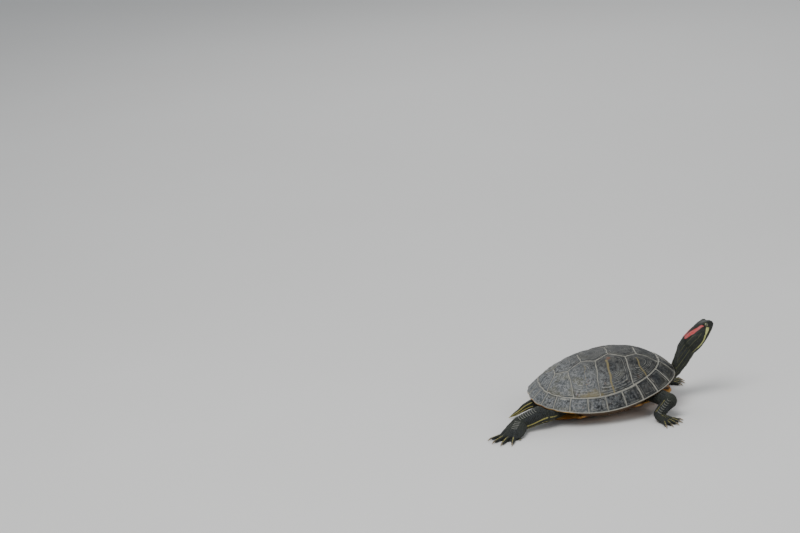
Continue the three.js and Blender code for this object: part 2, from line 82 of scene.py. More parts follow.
VERTEBRAL_CORNERS = [(29.4, 21.7), (-5.2, 20.9), (-38.2, 19.5)]
FIRST_VERTEBRAL_SIDE = (58, 13.5)
COSTAL_SEAMS = [13.7, 55.5, 93, 121.3, 155.1]
SIDES = {"left": 1, "right": -1}
SCUTE_SEAM = 0.05  # half the crack between two scutes
SCUTE_RINGS = 76  # of mesh, from the edge in to the oldest patch
SCUTE_POINTS = 150  # round the edge
GROWTH_STEP = 1.5  # between growth ridges
EDGE_DIPS = [(0.5, 1.5), (0.42, 7)]  # how deep each dip along a scute's edge is, and how wide
GROWTH_DEPTH = 0.17
SWELLS = [(0.16, 9), (0.05, 2.6)]  # how high a scute's waves are, and how long
OLIVE_PATCH = {"x": -24, "y": 59, "stretch": 3.6, "radius": 5.5}
RUST_PATCH = {"x": 9.5, "y": 22, "radius": 2.4}
CLEAR = 9.0  # this far from a marking there is none of it
COSTAL_BARS = [  # the top of each olive bar in plan, the bearing of its foot, and its half width
    ((40.5, 23), 40.5, 0.75),
    ((7, 25), 77.5, 1.15),
    ((-19.5, 23.5), 106, 0.1),
    ((-43, 17.5), 138, -0.2),
]


def smooth(start, end, value):
    share = np.clip((value - start) / (end - start), 0, 1)
    return share * share * (3 - 2 * share)


def mix(first, second, share):
    return first + (second - first) * share


def ripple(points, size, seed):
    """A smooth, random-looking field between about -1 and 1, with swells of this size."""
    chance = np.random.default_rng(seed)
    directions = chance.normal(size=(8, points.shape[-1]))
    directions /= np.linalg.norm(directions, axis=1, keepdims=True)
    stretch = chance.uniform(0.6, 1.5, 8) * 2 * math.pi / size
    return np.sin((points @ directions.T) * stretch + chance.uniform(0, 7, 8)).sum(-1) / 4


def rim_height(bearing):
    return sum(swing * np.cos(k * bearing) for k, swing in enumerate(RIM_WAVE))


def degrees_off(bearing):
    return np.degrees(np.abs(np.arctan2(np.sin(bearing), np.cos(bearing))))


def rim_reach(bearing):
    ahead = np.where(np.cos(bearing) > 0, SHELL_REACH["front"], SHELL_REACH["rear"])
    lengthwise = np.abs(np.cos(bearing) / ahead) ** OUTLINE_POWER
    crosswise = np.abs(np.sin(bearing) / SHELL_REACH["side"]) ** OUTLINE_POWER
    degrees = degrees_off(bearing)
    seams = np.array([0, *MARGINAL_SEAMS, 180.001])
    plate = np.searchsorted(seams, degrees, "right") - 1
    start, end = seams[plate], seams[np.minimum(plate + 1, len(seams) - 1)]
    bulge = np.abs(np.sin(math.pi * (degrees - start) / np.maximum(end - start, 0.01)))
    scallop = SCALLOP_DEPTH * smooth(95, 140, degrees) * (bulge - 0.6)
    return (lengthwise + crosswise) ** (-1 / OUTLINE_POWER) + scallop


def dome_point(share, bearing):
    ahead = np.cos(bearing)
    end = np.where(ahead > 0, DOME_FALL["front"], DOME_FALL["rear"])
    fall = mix(DOME_FALL["side"], end, ahead * ahead)
    height = (1 - np.minimum(share, 1) ** DOME_POWER) ** fall
    rim = rim_height(bearing)
    reach = share * rim_reach(bearing)
    z = rim + (DOME_HEIGHT - rim) * height + DOME_LEAN * share * ahead * (1 - share * share)
    return np.stack([SHELL_MIDDLE_X + reach * ahead, reach * np.sin(bearing), z], -1)


def dome_lifted(share, bearing, lift):
    """The dome's points moved out along its normal by lift."""
    step = 0.004
    near = np.clip(share, 2 * step, 1 - step)
    outwards = dome_point(near + step, bearing) - dome_point(near - step, bearing)
    around = dome_point(near, bearing + step) - dome_point(near, bearing - step)
    normal = np.cross(outwards, around)
    normal /= np.linalg.norm(normal, axis=-1, keepdims=True)
    off_top = smooth(0.05, 0.15, near)[..., None]
    normal = normal * off_top + np.array([0, 0, 1]) * (1 - off_top)
    return dome_point(share, bearing) + normal * np.asarray(lift)[..., None]


def polar(plan):
    """The share of the rim's reach and the bearing of points in plan."""
    bearing = np.arctan2(plan[..., 1], plan[..., 0] - SHELL_MIDDLE_X)
    reach = np.hypot(plan[..., 0] - SHELL_MIDDLE_X, plan[..., 1])
    return np.maximum(0.006, reach / rim_reach(bearing)), bearing


def on_floor(points):
    """Points of the shell's own frame, turned nose up about the rear of the plastron, where it rests."""
    middle = (BELLY_FLAT["from"] + BELLY_FLAT["to"]) / 2
    depth = (BELLY_FLAT["from"] - middle) * math.tan(SHELL_PITCH)
    x, y, z = points[..., 0] - middle, points[..., 1], points[..., 2] - depth
    c, s = math.cos(SHELL_PITCH), math.sin(SHELL_PITCH)
    return np.stack([x * c - z * s, y, x * s + z * c], -1)


def belt_share(bearing):
    return BELT_SHARE["middle"] - BELT_SHARE["swing"] * np.cos(2 * bearing)


def belt_point(degrees, side):
    """The seam between the dome's scutes and the marginals, in plan."""
    bearing = side * np.radians(degrees)
    reach = belt_share(bearing) * rim_reach(bearing)
    return np.stack([SHELL_MIDDLE_X + reach * np.cos(bearing), reach * np.sin(bearing)], -1)


def strip(points, count):
    """Count points evenly along a line, without its last one."""
    points = np.asarray(points, float)
    run = np.concatenate([[0], np.cumsum(np.linalg.norm(np.diff(points, axis=0), axis=1))])
    places = np.linspace(0, run[-1], count, endpoint=False)
    return np.stack([np.interp(places, run, axis) for axis in points.T], -1)


def outline(edges, count):
    """One closed loop along edges that meet end to end, which keeps their corners."""
    lengths = [np.linalg.norm(np.diff(np.asarray(edge, float), axis=0), axis=1).sum() for edge in edges]
    shares = [max(3, round(count * length / sum(lengths))) for length in lengths]
    return np.concatenate([strip(edge, share) for edge, share in zip(edges, shares)])


def wandering(plan):
    """Real seams waver a little; the same waver on both sides of a seam keeps it closed."""
    share, bearing = polar(plan)
    inside = smooth(0.99, 0.9, share / belt_share(bearing))[..., None]
    waver = np.stack([ripple(plan, 17, 3), ripple(plan, 17, 4)], -1)
    return plan + 0.5 * inside * waver


def ring_ridges(share_in, steps, points, seed):
    """Growth ridges: narrow grooves at uneven steps from the edge in, worn away here and there."""
    place = steps * share_in + 0.28 * np.sin(9 * share_in + seed) + 0.16 * np.sin(23 * share_in + 2 * seed)
    groove = (1 - np.abs(np.sin(math.pi * place))) ** 2
    worn = 0.66 + 0.34 * ripple(points, 11, seed + 40)
    return groove * worn * (1 - 0.8 * smooth(0.45, 0.95, share_in))


def new_piece(name, points, faces, fields, finish, nodes=()):
    """A mesh piece from points in millimetres, with its fields as point attributes."""
    name += "_piece"
    mesh = bpy.data.meshes.new(name)
    mesh.from_pydata((np.asarray(points) * MM).tolist(), [], faces)
    for field, values in fields.items():
        attribute = mesh.attributes.new(field, "FLOAT", "POINT")
        attribute.data.foreach_set("value", np.asarray(values, np.float32).ravel())
    mesh.polygons.foreach_set("use_smooth", [True] * len(mesh.polygons))
    mesh.update()
    piece = bpy.data.objects.new(name, mesh)
    bpy.context.scene.collection.objects.link(piece)
    mesh.materials.append(finish)
    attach(piece, "root")
    if nodes:
        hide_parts(*nodes)
    return piece


def ring_faces(first, second, count):
    """Quads between two closed rings of the same count, by their first points' numbers."""
    return [
        (first + j, first + (j + 1) % count, second + (j + 1) % count, second + j) for j in range(count)
    ]


def turned_out(points, faces):
    """The faces, turned the other way where they enclose a negative volume."""
    fans = np.array([(face[0], face[k], face[k + 1]) for face in faces for k in range(1, len(face) - 1)])
    first, second, third = (points[fans[:, k]] for k in range(3))
    volume = (first * np.cross(second, third)).sum()
    return faces if volume > 0 else [tuple(reversed(face)) for face in faces]


class Value:
    """An output in a material's tree; arithmetic on it adds Math nodes."""

    def __init__(self, paint, socket):
        self.paint = paint
        self.socket = socket

    def math(self, operation, *numbers):
        inputs = dict(enumerate(numbers))
        return self.paint.node("ShaderNodeMath", {"operation": operation}, inputs)

    def __add__(self, other):
        return self.math("ADD", self, other)

    def __radd__(self, other):
        return self.math("ADD", other, self)

    def __sub__(self, other):
        return self.math("SUBTRACT", self, other)

    def __rsub__(self, other):
        return self.math("SUBTRACT", other, self)

    def __mul__(self, other):
        return self.math("MULTIPLY", self, other)

    def __rmul__(self, other):
        return self.math("MULTIPLY", other, self)


class Paint:
    """A procedural material under construction."""

    def __init__(self, name):
        self.material = bpy.data.materials.new(name)
        self.material.use_nodes = True
        self.tree = self.material.node_tree
        self.tree.nodes.clear()

    def node(self, kind, settings=None, inputs=None, output=0):
        """One node: its settings first, then the values or links of its sockets."""
        made = self.tree.nodes.new(kind)
        for key, value in (settings or {}).items():
            setattr(made, key, value)
        for key, value in (inputs or {}).items():
            if isinstance(value, Value):
                self.tree.links.new(value.socket, made.inputs[key])
            else:
                made.inputs[key].default_value = value
        return Value(self, made.outputs[output] if made.outputs else None)

    def field(self, name):
        return self.node("ShaderNodeAttribute", {"attribute_name": name}, output="Fac")

    def place(self):
        return self.node("ShaderNodeTexCoord", output="Object")

    def noise(self, size, detail=3, rough=0.55):
        """Noise whose blots are about this many millimetres across, from 0 to 1."""
        inputs = {"Vector": self.place(), "Scale": 1 / (size * MM), "Detail": detail, "Roughness": rough}
        return self.node("ShaderNodeTexNoise", inputs=inputs)

    def cells(self, size):
        """The distance from the edges of cells of this many millimetres."""
        inputs = {"Vector": self.place(), "Scale": 1 / (size * MM)}
        return self.node("ShaderNodeTexVoronoi", {"feature": "DISTANCE_TO_EDGE"}, inputs)

    def fade(self, value, start, end):
        """0 at the start, 1 at the end, smooth between."""
        inputs = {"Value": value, "From Min": start, "From Max": end}
        return self.node("ShaderNodeMapRange", {"interpolation_type": "SMOOTHSTEP"}, inputs)

    def blend(self, share, first, second):
        """One colour over another by a share."""
        inputs = {"Factor": share, "A": self.color(first), "B": self.color(second)}
        made = self.tree.nodes.new("ShaderNodeMix")
        made.data_type = "RGBA"
        for key, value in inputs.items():
            socket = next(s for s in made.inputs if s.name == key and s.enabled)
            if isinstance(value, Value):
                self.tree.links.new(value.socket, socket)
            else:
                socket.default_value = value
        return Value(self, next(s for s in made.outputs if s.enabled))

    def color(self, value):
        return value if isinstance(value, Value) else (*value, 1)

    def bump(self, height, depth, under=None):
        """Relief of this many millimetres between the height's 0 and 1."""
        inputs = {"Height": height, "Distance": depth * MM, "Strength": 1.0}
        if under is not None:
            inputs["Normal"] = under
        return self.node("ShaderNodeBump", inputs=inputs)

    def surface(self, color, roughness, normal, **constants):
        inputs = {"Base Color": color, "Roughness": roughness, "Normal": normal}
        inputs.update({key.replace("_", " "): value for key, value in constants.items()})
        shader = self.node("ShaderNodeBsdfPrincipled", inputs=inputs)
        self.node("ShaderNodeOutputMaterial", inputs={"Surface": shader})
        return self.material


CHARCOAL = (0.008, 0.009, 0.0105)
SLATE = (0.062, 0.068, 0.074)
SOOT = (0.005, 0.006, 0.007)
OLIVE_HORN = (0.07, 0.066, 0.036)
SEAM_BONE = (0.36, 0.35, 0.3)
SPECK = (0.33, 0.34, 0.345)
BAR_OLIVE = (0.185, 0.15, 0.066)
RUST = (0.15, 0.062, 0.03)
BELLY_ORANGE = (0.4, 0.15, 0.022)
BELLY_YELLOW = (0.44, 0.26, 0.07)
BLOTCH = (0.03, 0.02, 0.013)
FRONT_TONE_X = 125  # from here forwards the horn is darkest
REAR_TONE_X = 20  # and from here back it is palest
CROWN_TONE_Z = (52, 66)  # over these heights it darkens again, towards the top


def horn_finish(name):
    """Dry horn: charcoal above, with pale seams and grooves, and orange-yellow with dark blotches below,
    which on the marginals' front and sides are widened as painted shade.
    """
    paint = Paint(name)
    seam, groove, tint = paint.field("seam"), paint.field("groove"), paint.field("tint")
    olive, rust = paint.field("olive"), paint.field("rust")
    broad, middling, fine = paint.noise(22, 4), paint.noise(4.2, 6, 0.62), paint.noise(0.8, 4, 0.68)
    # The scutes behind are the paler, flakier ones, and those on top the darkest.
    along, up = (
        paint.node("ShaderNodeSeparateXYZ", inputs={"Vector": paint.place()}, output=axis) for axis in "XZ"
    )
    behind = paint.fade(along, FRONT_TONE_X * MM, REAR_TONE_X * MM)
    above = paint.fade(up, *(height * MM for height in CROWN_TONE_Z))
    paleness = middling + 0.22 * (tint - 0.5) + 0.14 * behind
    horn = paint.blend(paint.fade(paleness, 0.46, 0.58), CHARCOAL, SLATE)
    horn = paint.blend(0.6 * paint.fade(broad + 0.3 * (tint - 0.5), 0.5, 0.66), horn, OLIVE_HORN)
    horn = paint.blend(0.45 * paint.fade(paint.noise(7, 5, 0.6), 0.62, 0.72), horn, RUST)
    flakes = paint.fade(paint.noise(2.5, 4, 0.66) + 0.06 * behind, 0.53, 0.62) * (0.4 + 0.6 * behind)
    horn = paint.blend(0.38 * flakes * paint.fade(seam, 0.7, 3.0), horn, SPECK)
    horn = paint.blend(0.3 * paint.fade(fine, 0.56, 0.68), horn, SPECK)
    horn = paint.blend(0.6 * paint.fade(fine, 0.47, 0.36), horn, CHARCOAL)
    horn = paint.blend(0.76 * (1 - behind), horn, SOOT)
    horn = paint.blend(0.76 * above, horn, SOOT)
    horn = paint.blend(0.75 * groove * paint.fade(middling, 0.3, 0.56), horn, SEAM_BONE)
    bar_edge = paint.field("bar") + 2.6 * (middling - 0.5) + 0.8 * (fine - 0.5)
    horn = paint.blend(0.85 * paint.fade(bar_edge, 0.6, -0.7), horn, BAR_OLIVE)
    horn = paint.blend(0.55 * paint.fade(olive + 9 * (middling - 0.5), 2.2, -2.8), horn, BAR_OLIVE)
    horn = paint.blend(0.6 * paint.fade(rust + 6 * (middling - 0.5), 1.6, -1.6), horn, RUST)
    seam_edge = seam + 1.1 * (middling - 0.5) + 0.5 * (fine - 0.5)
    horn = paint.blend(0.9 * paint.fade(seam_edge, 0.75, 0.3), horn, SEAM_BONE)
    horn = paint.blend(0.75 * paint.fade(seam, 0.16, 0.05), horn, BLOTCH)
    lip_edge = paint.field("lip") + 1.6 * (middling - 0.5)
    horn = paint.blend(0.85 * paint.fade(lip_edge, 1.2, 0.2), horn, SEAM_BONE)
    belly = paint.blend(paint.fade(broad, 0.4, 0.65), BELLY_ORANGE, BELLY_YELLOW)
    belly = paint.blend(0.5 * paint.fade(fine, 0.5, 0.8), belly, RUST)
    # Dark blotches below: their own markings, widened on the front and side marginals as painted shade under
    # the rim.
    blotch_edge = paint.field("blotch") + 5 * (paint.noise(9, 4, 0.6) - 0.5)
    belly = paint.blend(0.92 * paint.fade(blotch_edge, 1.2, -1.2), belly, BLOTCH)
    belly = paint.blend(0.8 * paint.fade(seam_edge, 0.6, 0.15), belly, BLOTCH)
    color = paint.blend(paint.fade(paint.field("under"), 0.35, 0.65), horn, belly)
    roughness = 0.4 + 0.24 * middling + 0.14 * groove
    relief = paint.bump(paint.noise(0.35, 3, 0.6), 0.07, under=paint.bump(middling, 0.3))
    return paint.surface(color, roughness, relief, Specular_IOR_Level=0.24)


carapace_horn = horn_finish("carapace_horn")
chance = np.random.default_rng(11)


def horn_fields(count, **own):
    """What a horn finish reads at each point: clear of every marking but where the piece gives its own."""
    fields = {name: np.full(count, CLEAR) for name in ("bar", "lip", "blotch", "olive", "rust")}
    return {**fields, "under": np.zeros(count), **own}


def scute(name, edges, oldest_shift, bar, seed):
    """One closed scute: rings of points from its border in to its oldest patch, over the dome."""
    border = wandering(outline(edges, SCUTE_POINTS))
    count = len(border)
    oldest = border.mean(0) + oldest_shift
    spokes = border - oldest
    reach = np.linalg.norm(spokes, axis=1, keepdims=True)
    border = oldest + spokes * (1 - SCUTE_SEAM / reach)
    softened = border.copy()
    for _ in range(90):
        softened = (np.roll(softened, 1, 0) + softened + np.roll(softened, -1, 0)) / 3
    shares = (np.arange(SCUTE_RINGS) / SCUTE_RINGS) ** 1.25
    rounding = smooth(0, 0.55, shares)[:, None, None]
    rings = oldest + (mix(border[None], softened[None], rounding) - oldest) * (1 - shares)[:, None, None]
    plan = np.concatenate([rings.reshape(-1, 2), [oldest]])
    share_in = np.concatenate([np.repeat(shares, count), [1]])
    seam = np.concatenate(
        [np.linalg.norm(ring[:, None] - border[None], axis=-1).min(1) for ring in [*rings, plan[-1:]]]
    )
    groove = ring_ridges(share_in, reach.mean() / GROWTH_STEP, plan, seed) * smooth(0.3, 1.1, seam)
    lift = -sum(depth * smooth(width, 0, seam) for depth, width in EDGE_DIPS) - GROWTH_DEPTH * groove
    lift += sum(height * ripple(plan, length, seed + k) for k, (height, length) in enumerate(SWELLS))
    top = dome_lifted(*polar(plan), lift)
    under_shares = [0, 0.35, 0.7]
    under_rings = [oldest + (border - oldest) * (1 - share) for share in under_shares]
    under_plan = np.concatenate([*under_rings, [oldest]])
    bottom = dome_lifted(*polar(under_plan), np.full(len(under_plan), -PLATE_THICKNESS + 0.4))
    points = np.concatenate([top, bottom])
    faces = []
    for k in range(SCUTE_RINGS - 1):
        faces += ring_faces(k * count, (k + 1) * count, count)
    last = (SCUTE_RINGS - 1) * count
    faces += [(last + j, last + (j + 1) % count, SCUTE_RINGS * count) for j in range(count)]
    below = SCUTE_RINGS * count + 1
    faces += ring_faces(below, 0, count)
    for k in range(len(under_shares) - 1):
        faces += ring_faces(below + (k + 1) * count, below + k * count, count)
    last = below + (len(under_shares) - 1) * count
    faces += [(last + (j + 1) % count, last + j, below + len(under_shares) * count) for j in range(count)]
    x, beside = points[:, 0], np.abs(points[:, 1])
    fields = horn_fields(
        len(points),
        seam=np.concatenate([seam, np.zeros(len(bottom))]),
        groove=np.concatenate([groove, np.zeros(len(bottom))]),
        bar=np.concatenate([bar(plan), np.full(len(bottom), CLEAR)]),
        tint=np.full(len(points), chance.uniform(0.1, 0.9)),
        olive=np.hypot((x - OLIVE_PATCH["x"]) / OLIVE_PATCH["stretch"], beside - OLIVE_PATCH["y"])
        - OLIVE_PATCH["radius"],
        rust=np.hypot(x - RUST_PATCH["x"], beside - RUST_PATCH["y"]) - RUST_PATCH["radius"],
    )
    world = on_floor(points)
    return new_piece(name, world, turned_out(world, faces), fields, carapace_horn, [name])


def mirrored(points, side):
    return [(x, side * y) for x, y in points]


def belt_line(start, end, side):
    return belt_point(np.linspace(start, end, 40), side)


def no_bar(plan):
    return np.full(len(plan), CLEAR)


front_corner, rear_corner = (tuple(belt_point(COSTAL_SEAMS[k], 1)) for k in (0, 4))
waists = [front_corner, *VERTEBRAL_WAISTS, rear_corner]
vertebral_corners = [FIRST_VERTEBRAL_SIDE, *VERTEBRAL_CORNERS]
for i in range(5):
    waist_ahead, waist_behind = waists[i], waists[i + 1]
    flank = [waist_ahead, *vertebral_corners[i : i + 1], waist_behind]
    front = mirrored([waist_ahead], -1) + [waist_ahead]
    back = [waist_behind] + mirrored([waist_behind], -1)
    if i == 0:
        front = belt_line(-COSTAL_SEAMS[0], COSTAL_SEAMS[0], 1)
    if i == 4:
        back = belt_line(COSTAL_SEAMS[4], 360 - COSTAL_SEAMS[4], 1)
    edges = [front, flank, back, mirrored(flank[::-1], -1)]
    scute(f"vertebral_{i + 1}", edges, np.array([-3.5, 0]), no_bar, i + 1)

for name, side in SIDES.items():
    inner_lines = [
        [front_corner, FIRST_VERTEBRAL_SIDE, VERTEBRAL_WAISTS[0], VERTEBRAL_CORNERS[0]],
        [VERTEBRAL_CORNERS[0], VERTEBRAL_WAISTS[1], VERTEBRAL_CORNERS[1]],
        [VERTEBRAL_CORNERS[1], VERTEBRAL_WAISTS[2], VERTEBRAL_CORNERS[2]],
        [VERTEBRAL_CORNERS[2], VERTEBRAL_WAISTS[3], rear_corner],
    ]
    for i, inner_line in enumerate(inner_lines):
        inner = mirrored(inner_line, side)
        belt = belt_line(COSTAL_SEAMS[i + 1], COSTAL_SEAMS[i], side)
        edges = [inner, [inner[-1], tuple(belt[0])], belt, [tuple(belt[-1]), inner[0]]]
        edges = [edge for edge in edges if math.dist(edge[0], edge[-1]) > 0.5]
        (top_x, top_y), foot_bearing, bar_half = COSTAL_BARS[i]
        bar_top, bar_foot = np.array([top_x, side * top_y]), belt_point(foot_bearing, side)

        def bar(plan, top=bar_top, foot=bar_foot, half=bar_half):
            along = (foot - top) / np.linalg.norm(foot - top)
            across = (plan - top) @ np.array([-along[1], along[0]])
            ends = np.maximum(0, -((plan - top) @ along))
            return np.abs(across + 1.3 * ripple(plan, 16, 8)) - half + ends

        scute(f"costal_{name}_{i + 1}", edges, np.array([-2.5, -3.5 * side]), bar, 10 * i + side + 12)

# ---- The marginal scutes ----
# The rim of the shell: a narrow nuchal over the neck and twelve scutes down each side, each folded round the
# edge of the bone, charcoal above and orange with a dark blotch below, the blotch widened on the front and
# side plates as painted shade under the rim. Those at the rear flare into scallops.
RIM_THICKNESS = 1.9
MARGINAL_STEPS = 44  # along the rim
RIM_CRACK_DEGREES = SCUTE_SEAM / 65 * 57.3  # half a crack, on a rim about 65 mm from the middle
UNDERSIDE = [((7, 5), (-0.9, -5)), ((13, 9), (1.2, -6))]  # two corners' inset and rise, off and on the bridge
rim_horn = horn_finish("rim_horn")


def over_bridge(degrees):
    return smooth(42, 56, degrees) * (1 - smooth(112, 128, degrees))


def rounded_line(corners, count):
    """A Catmull-Rom curve through rows of corners, as (rows, count, 2)."""
    corners = np.asarray(corners)
    padded = np.concatenate([2 * corners[:1] - corners[1:2], corners, 2 * corners[-1:] - corners[-2:-1]])
    place = np.linspace(0, len(corners) - 1, count)
    i = np.minimum(place.astype(int), len(corners) - 2)
    t = (place - i).reshape(-1, *[1] * (corners.ndim - 1))
    a, b, c, d = (padded[i + k] for k in range(4))
    return 0.5 * (2 * b + (c - a) * t + (2 * a - 5 * b + 4 * c - d) * t**2 + (3 * b - a - 3 * c + d) * t**3)


def underside(bridge):
    """How far in from the lip two corners of the plates' underside lie, and how high."""
    return [(mix(*inset, bridge), mix(*rise, bridge)) for inset, rise in UNDERSIDE]


def marginal(name, start, end, side, seed):
    """A folded plate: one section from the belt over the lip to the root below, swept along the rim."""
    ease = np.linspace(0, 1, MARGINAL_STEPS)
    ease = mix(ease, smooth(0, 1, ease), 0.6)
    degrees = mix(start + RIM_CRACK_DEGREES, end - RIM_CRACK_DEGREES, ease)
    bearing = side * np.radians(degrees)
    reach, rim = rim_reach(bearing), rim_height(bearing)
    bridge = over_bridge(degrees_off(bearing))
    root = belt_share(bearing) + SCUTE_SEAM / reach
    down = 1 - (1 - np.linspace(0, 1, 26)) ** 1.7
    bearings = bearing[None] + 0 * down[:, None]
    top_world = dome_lifted(mix(root[None], 1, down[:, None]), bearings, 0 * bearings)
    top = np.stack([np.hypot(top_world[..., 0] - SHELL_MIDDLE_X, top_world[..., 1]), top_world[..., 2]], -1)
    deep = dome_lifted(root, bearing, np.full(len(bearing), -PLATE_THICKNESS + 0.3))
    deep_reach = np.hypot(deep[:, 0] - SHELL_MIDDLE_X, deep[:, 1])
    corners = [
        top[-1],
        np.stack([reach + 0.12, rim - 0.5 * RIM_THICKNESS], -1),
        np.stack([reach - 0.6, rim - RIM_THICKNESS], -1),
        *(np.stack([reach - inset, rim + rise], -1) for inset, rise in underside(bridge)),
        np.stack([deep_reach, deep[:, 2]], -1),
    ]
    turn = rounded_line(corners, 41)[1:]
    section = np.concatenate([top, turn])  # (around, along, 2)
    count = len(section)
    width = math.radians(end - start) * reach.mean()
    side_seam = np.minimum(ease, 1 - ease) * width
    runs = np.linalg.norm(np.diff(section, axis=0), axis=-1)
    run = np.concatenate([np.zeros((1, len(bearing))), np.cumsum(runs, 0)])
    lip_at = run[len(top) - 1 + 4]
    lip = run - lip_at[None]
    is_top = lip < 0
    seam = np.minimum(side_seam[None] + 0 * run, np.where(is_top, run, 9))
    ring_in = np.minimum(np.minimum(side_seam[None], np.where(is_top, run, 99)), np.maximum(0, -lip) + 0.4)
    plan = np.stack([degrees[None] * 1.1 + 0 * run, run], -1)
    groove = ring_ridges(ring_in / 8, 8 / GROWTH_STEP, plan, seed) * smooth(0.3, 1, ring_in) * is_top
    tangent = np.gradient(section, axis=0)
    normal = np.stack([-tangent[..., 1], tangent[..., 0]], -1)
    normal /= np.linalg.norm(normal, axis=-1, keepdims=True)
    drop = 0.4 * smooth(1.1, 0, side_seam)[None] + 0.5 * smooth(1.5, 0, run) * is_top + 0.16 * groove
    drop += 0.1 * ripple(plan, 7, seed)
    section = section + normal * (drop * np.minimum(1, run + 0.15))[..., None]
    x = SHELL_MIDDLE_X + section[..., 0] * np.cos(bearing)[None]
    y = section[..., 0] * np.sin(bearing)[None]
    points = np.stack([x, y, section[..., 1]], -1).transpose(1, 0, 2).reshape(-1, 3)
    faces = []
    for k in range(MARGINAL_STEPS - 1):
        faces += ring_faces(k * count, (k + 1) * count, count)
    # The ends are closed by fans round a middle point, a little inside the section.
    middles = []
    for k, first in enumerate([0, (MARGINAL_STEPS - 1) * count]):
        middles.append(points[first : first + count].mean(0))
        ends = [(first + (j + 1) % count, first + j, len(points) + k) for j in range(count)]
        faces += ends if k == 0 else [tuple(reversed(face)) for face in ends]
    points = np.concatenate([points, middles])
    across = (ease[None] - 0.5) * width
    # The dark blotch under each marginal is its own marking, widened on the front and side plates as painted
    # shade under the rim.
    blotch_and_shade_spread = mix(0.34, 0.62, smooth(128, 100, degrees_off(bearing)))[None]
    blotch = np.hypot(across, lip - mix(7.5, 5.5, bridge)[None]) - blotch_and_shade_spread * width

    def spread(values, rest):
        return np.concatenate([(values + 0 * run).T.ravel(), [rest, rest]])

    fields = horn_fields(
        len(points),
        seam=spread(seam, 0),
        groove=spread(groove, 0),
        tint=spread(chance.uniform(0.15, 0.8), 0.5),
        lip=spread(np.abs(lip), CLEAR),
        blotch=spread(blotch, CLEAR),
        under=spread(smooth(-0.2, 0.9, lip), 1),
    )
    world = on_floor(points)
    return new_piece(name, world, turned_out(world, faces), fields, rim_horn, [name])


marginal("nuchal", -MARGINAL_SEAMS[0], MARGINAL_SEAMS[0], 1, 70)
for name, side in SIDES.items():
    for i in range(12):
        marginal(f"marginal_{name}_{i + 1}", MARGINAL_SEAMS[i], MARGINAL_SEAMS[i + 1], side, 71 + i)

# ---- The plastron ----
# The shell's floor: two lobes and, between them, the bridges up to the rim, covered by six pairs of scutes.
# It is rust-yellow, with a dark blotch on each scute, and worn flat where it rests.
PLASTRON_REACH = {"front": 79.5, "rear": 77}
PLASTRON_LOBE = 37.5
PLASTRON_THICKNESS = 4.8
BRIDGE_INSET = 9.9
BRIDGE_RISE = 7.3
PLASTRON_SEAMS = [(66, -9), (51, -7), (23, 3), (-15, -3), (-45, 10)]  # each seam's middle, and its ends' lead
PLASTRON_ROWS = 170
PLASTRON_COLUMNS = 110
BRIDGE_BLOTCHES = (14, -20)  # along the shell
BRIDGE_SEAM_Y = 47
plastron_horn = horn_finish("plastron_horn")


def plastron_half_width(x):
    reach = np.where(x > 0, PLASTRON_REACH["front"], PLASTRON_REACH["rear"])
    lobe = PLASTRON_LOBE * (1 - np.abs(x / reach) ** 3.2) ** 0.5
    ahead = SHELL_REACH["front"] - BRIDGE_INSET
    fall = np.maximum(0, 1 - np.abs((x - SHELL_MIDDLE_X) / ahead) ** OUTLINE_POWER) ** (1 / OUTLINE_POWER)
    bridge = (SHELL_REACH["side"] - BRIDGE_INSET) * fall
    return mix(lobe, bridge, smooth(40, 33, x) * smooth(-41, -34, x))


rows, columns = PLASTRON_ROWS, PLASTRON_COLUMNS
down, over = np.meshgrid(np.linspace(0, 1, rows + 1), np.linspace(0, 1, columns + 1), indexing="ij")
eased_down = 0.5 - 0.5 * np.cos(math.pi * down)
plastron_x = mix(PLASTRON_REACH["front"], -PLASTRON_REACH["rear"], mix(0.006, 0.994, eased_down))
across = 2 * over - 1
across = np.sign(across) * mix(np.abs(across), smooth(0, 1, np.abs(across) / 2 + 0.5) * 2 - 1, 0.5)
plastron_y = across * plastron_half_width(plastron_x)
notch = 2.5 * np.exp(-((plastron_y / 7) ** 2)) * (smooth(-64, -77, plastron_x) - smooth(62, 78, plastron_x))
rise = BRIDGE_RISE * smooth(34, 60, np.abs(plastron_y))
thinned_by = 0.35 * smooth(0.75, 1, np.abs(across)) + 0.25 * smooth(55, 78, plastron_x)
thickness = PLASTRON_THICKNESS * (1 - thinned_by)
plan = np.stack([plastron_x + notch, plastron_y], -1)
seam_gap = np.abs(plastron_y + 0.5 * ripple(plan, 22, 5))
blotch_gap = np.full(plan.shape[:2], 99.0)
scute_ends = [PLASTRON_REACH["front"], *[place for place, _ in PLASTRON_SEAMS], -PLASTRON_REACH["rear"]]
for place, lead in PLASTRON_SEAMS:
    line = place + lead * (np.abs(plastron_y) / 35) ** 1.5 + 0.5 * ripple(plan, 20, 6)
    seam_gap = np.minimum(seam_gap, np.abs(plastron_x - line))
for ahead, behind in zip(scute_ends, scute_ends[1:]):
    middle, half = (ahead + behind) / 2, (ahead - behind) / 2
    out = np.abs(plastron_y) - 0.42 * plastron_half_width(np.array(middle))
    size = 0.5 * min(half, 15)
    blotch_gap = np.minimum(blotch_gap, np.hypot(plastron_x - middle, out) - size)
for middle in BRIDGE_BLOTCHES:
    blotch_gap = np.minimum(blotch_gap, np.hypot((plastron_x - middle) / 1.5, np.abs(plastron_y) - 52) - 7)
bridge_seam = np.abs(np.abs(plastron_y) - BRIDGE_SEAM_Y - 0.6 * ripple(plan, 15, 7))
bridge_seam += 40 * smooth(30, 36, np.abs(plastron_x))
seam_gap = np.minimum(seam_gap, bridge_seam)
edge_gap = np.minimum((1 - np.abs(across)) * plastron_half_width(plastron_x), np.minimum(down, 1 - down) * 99)
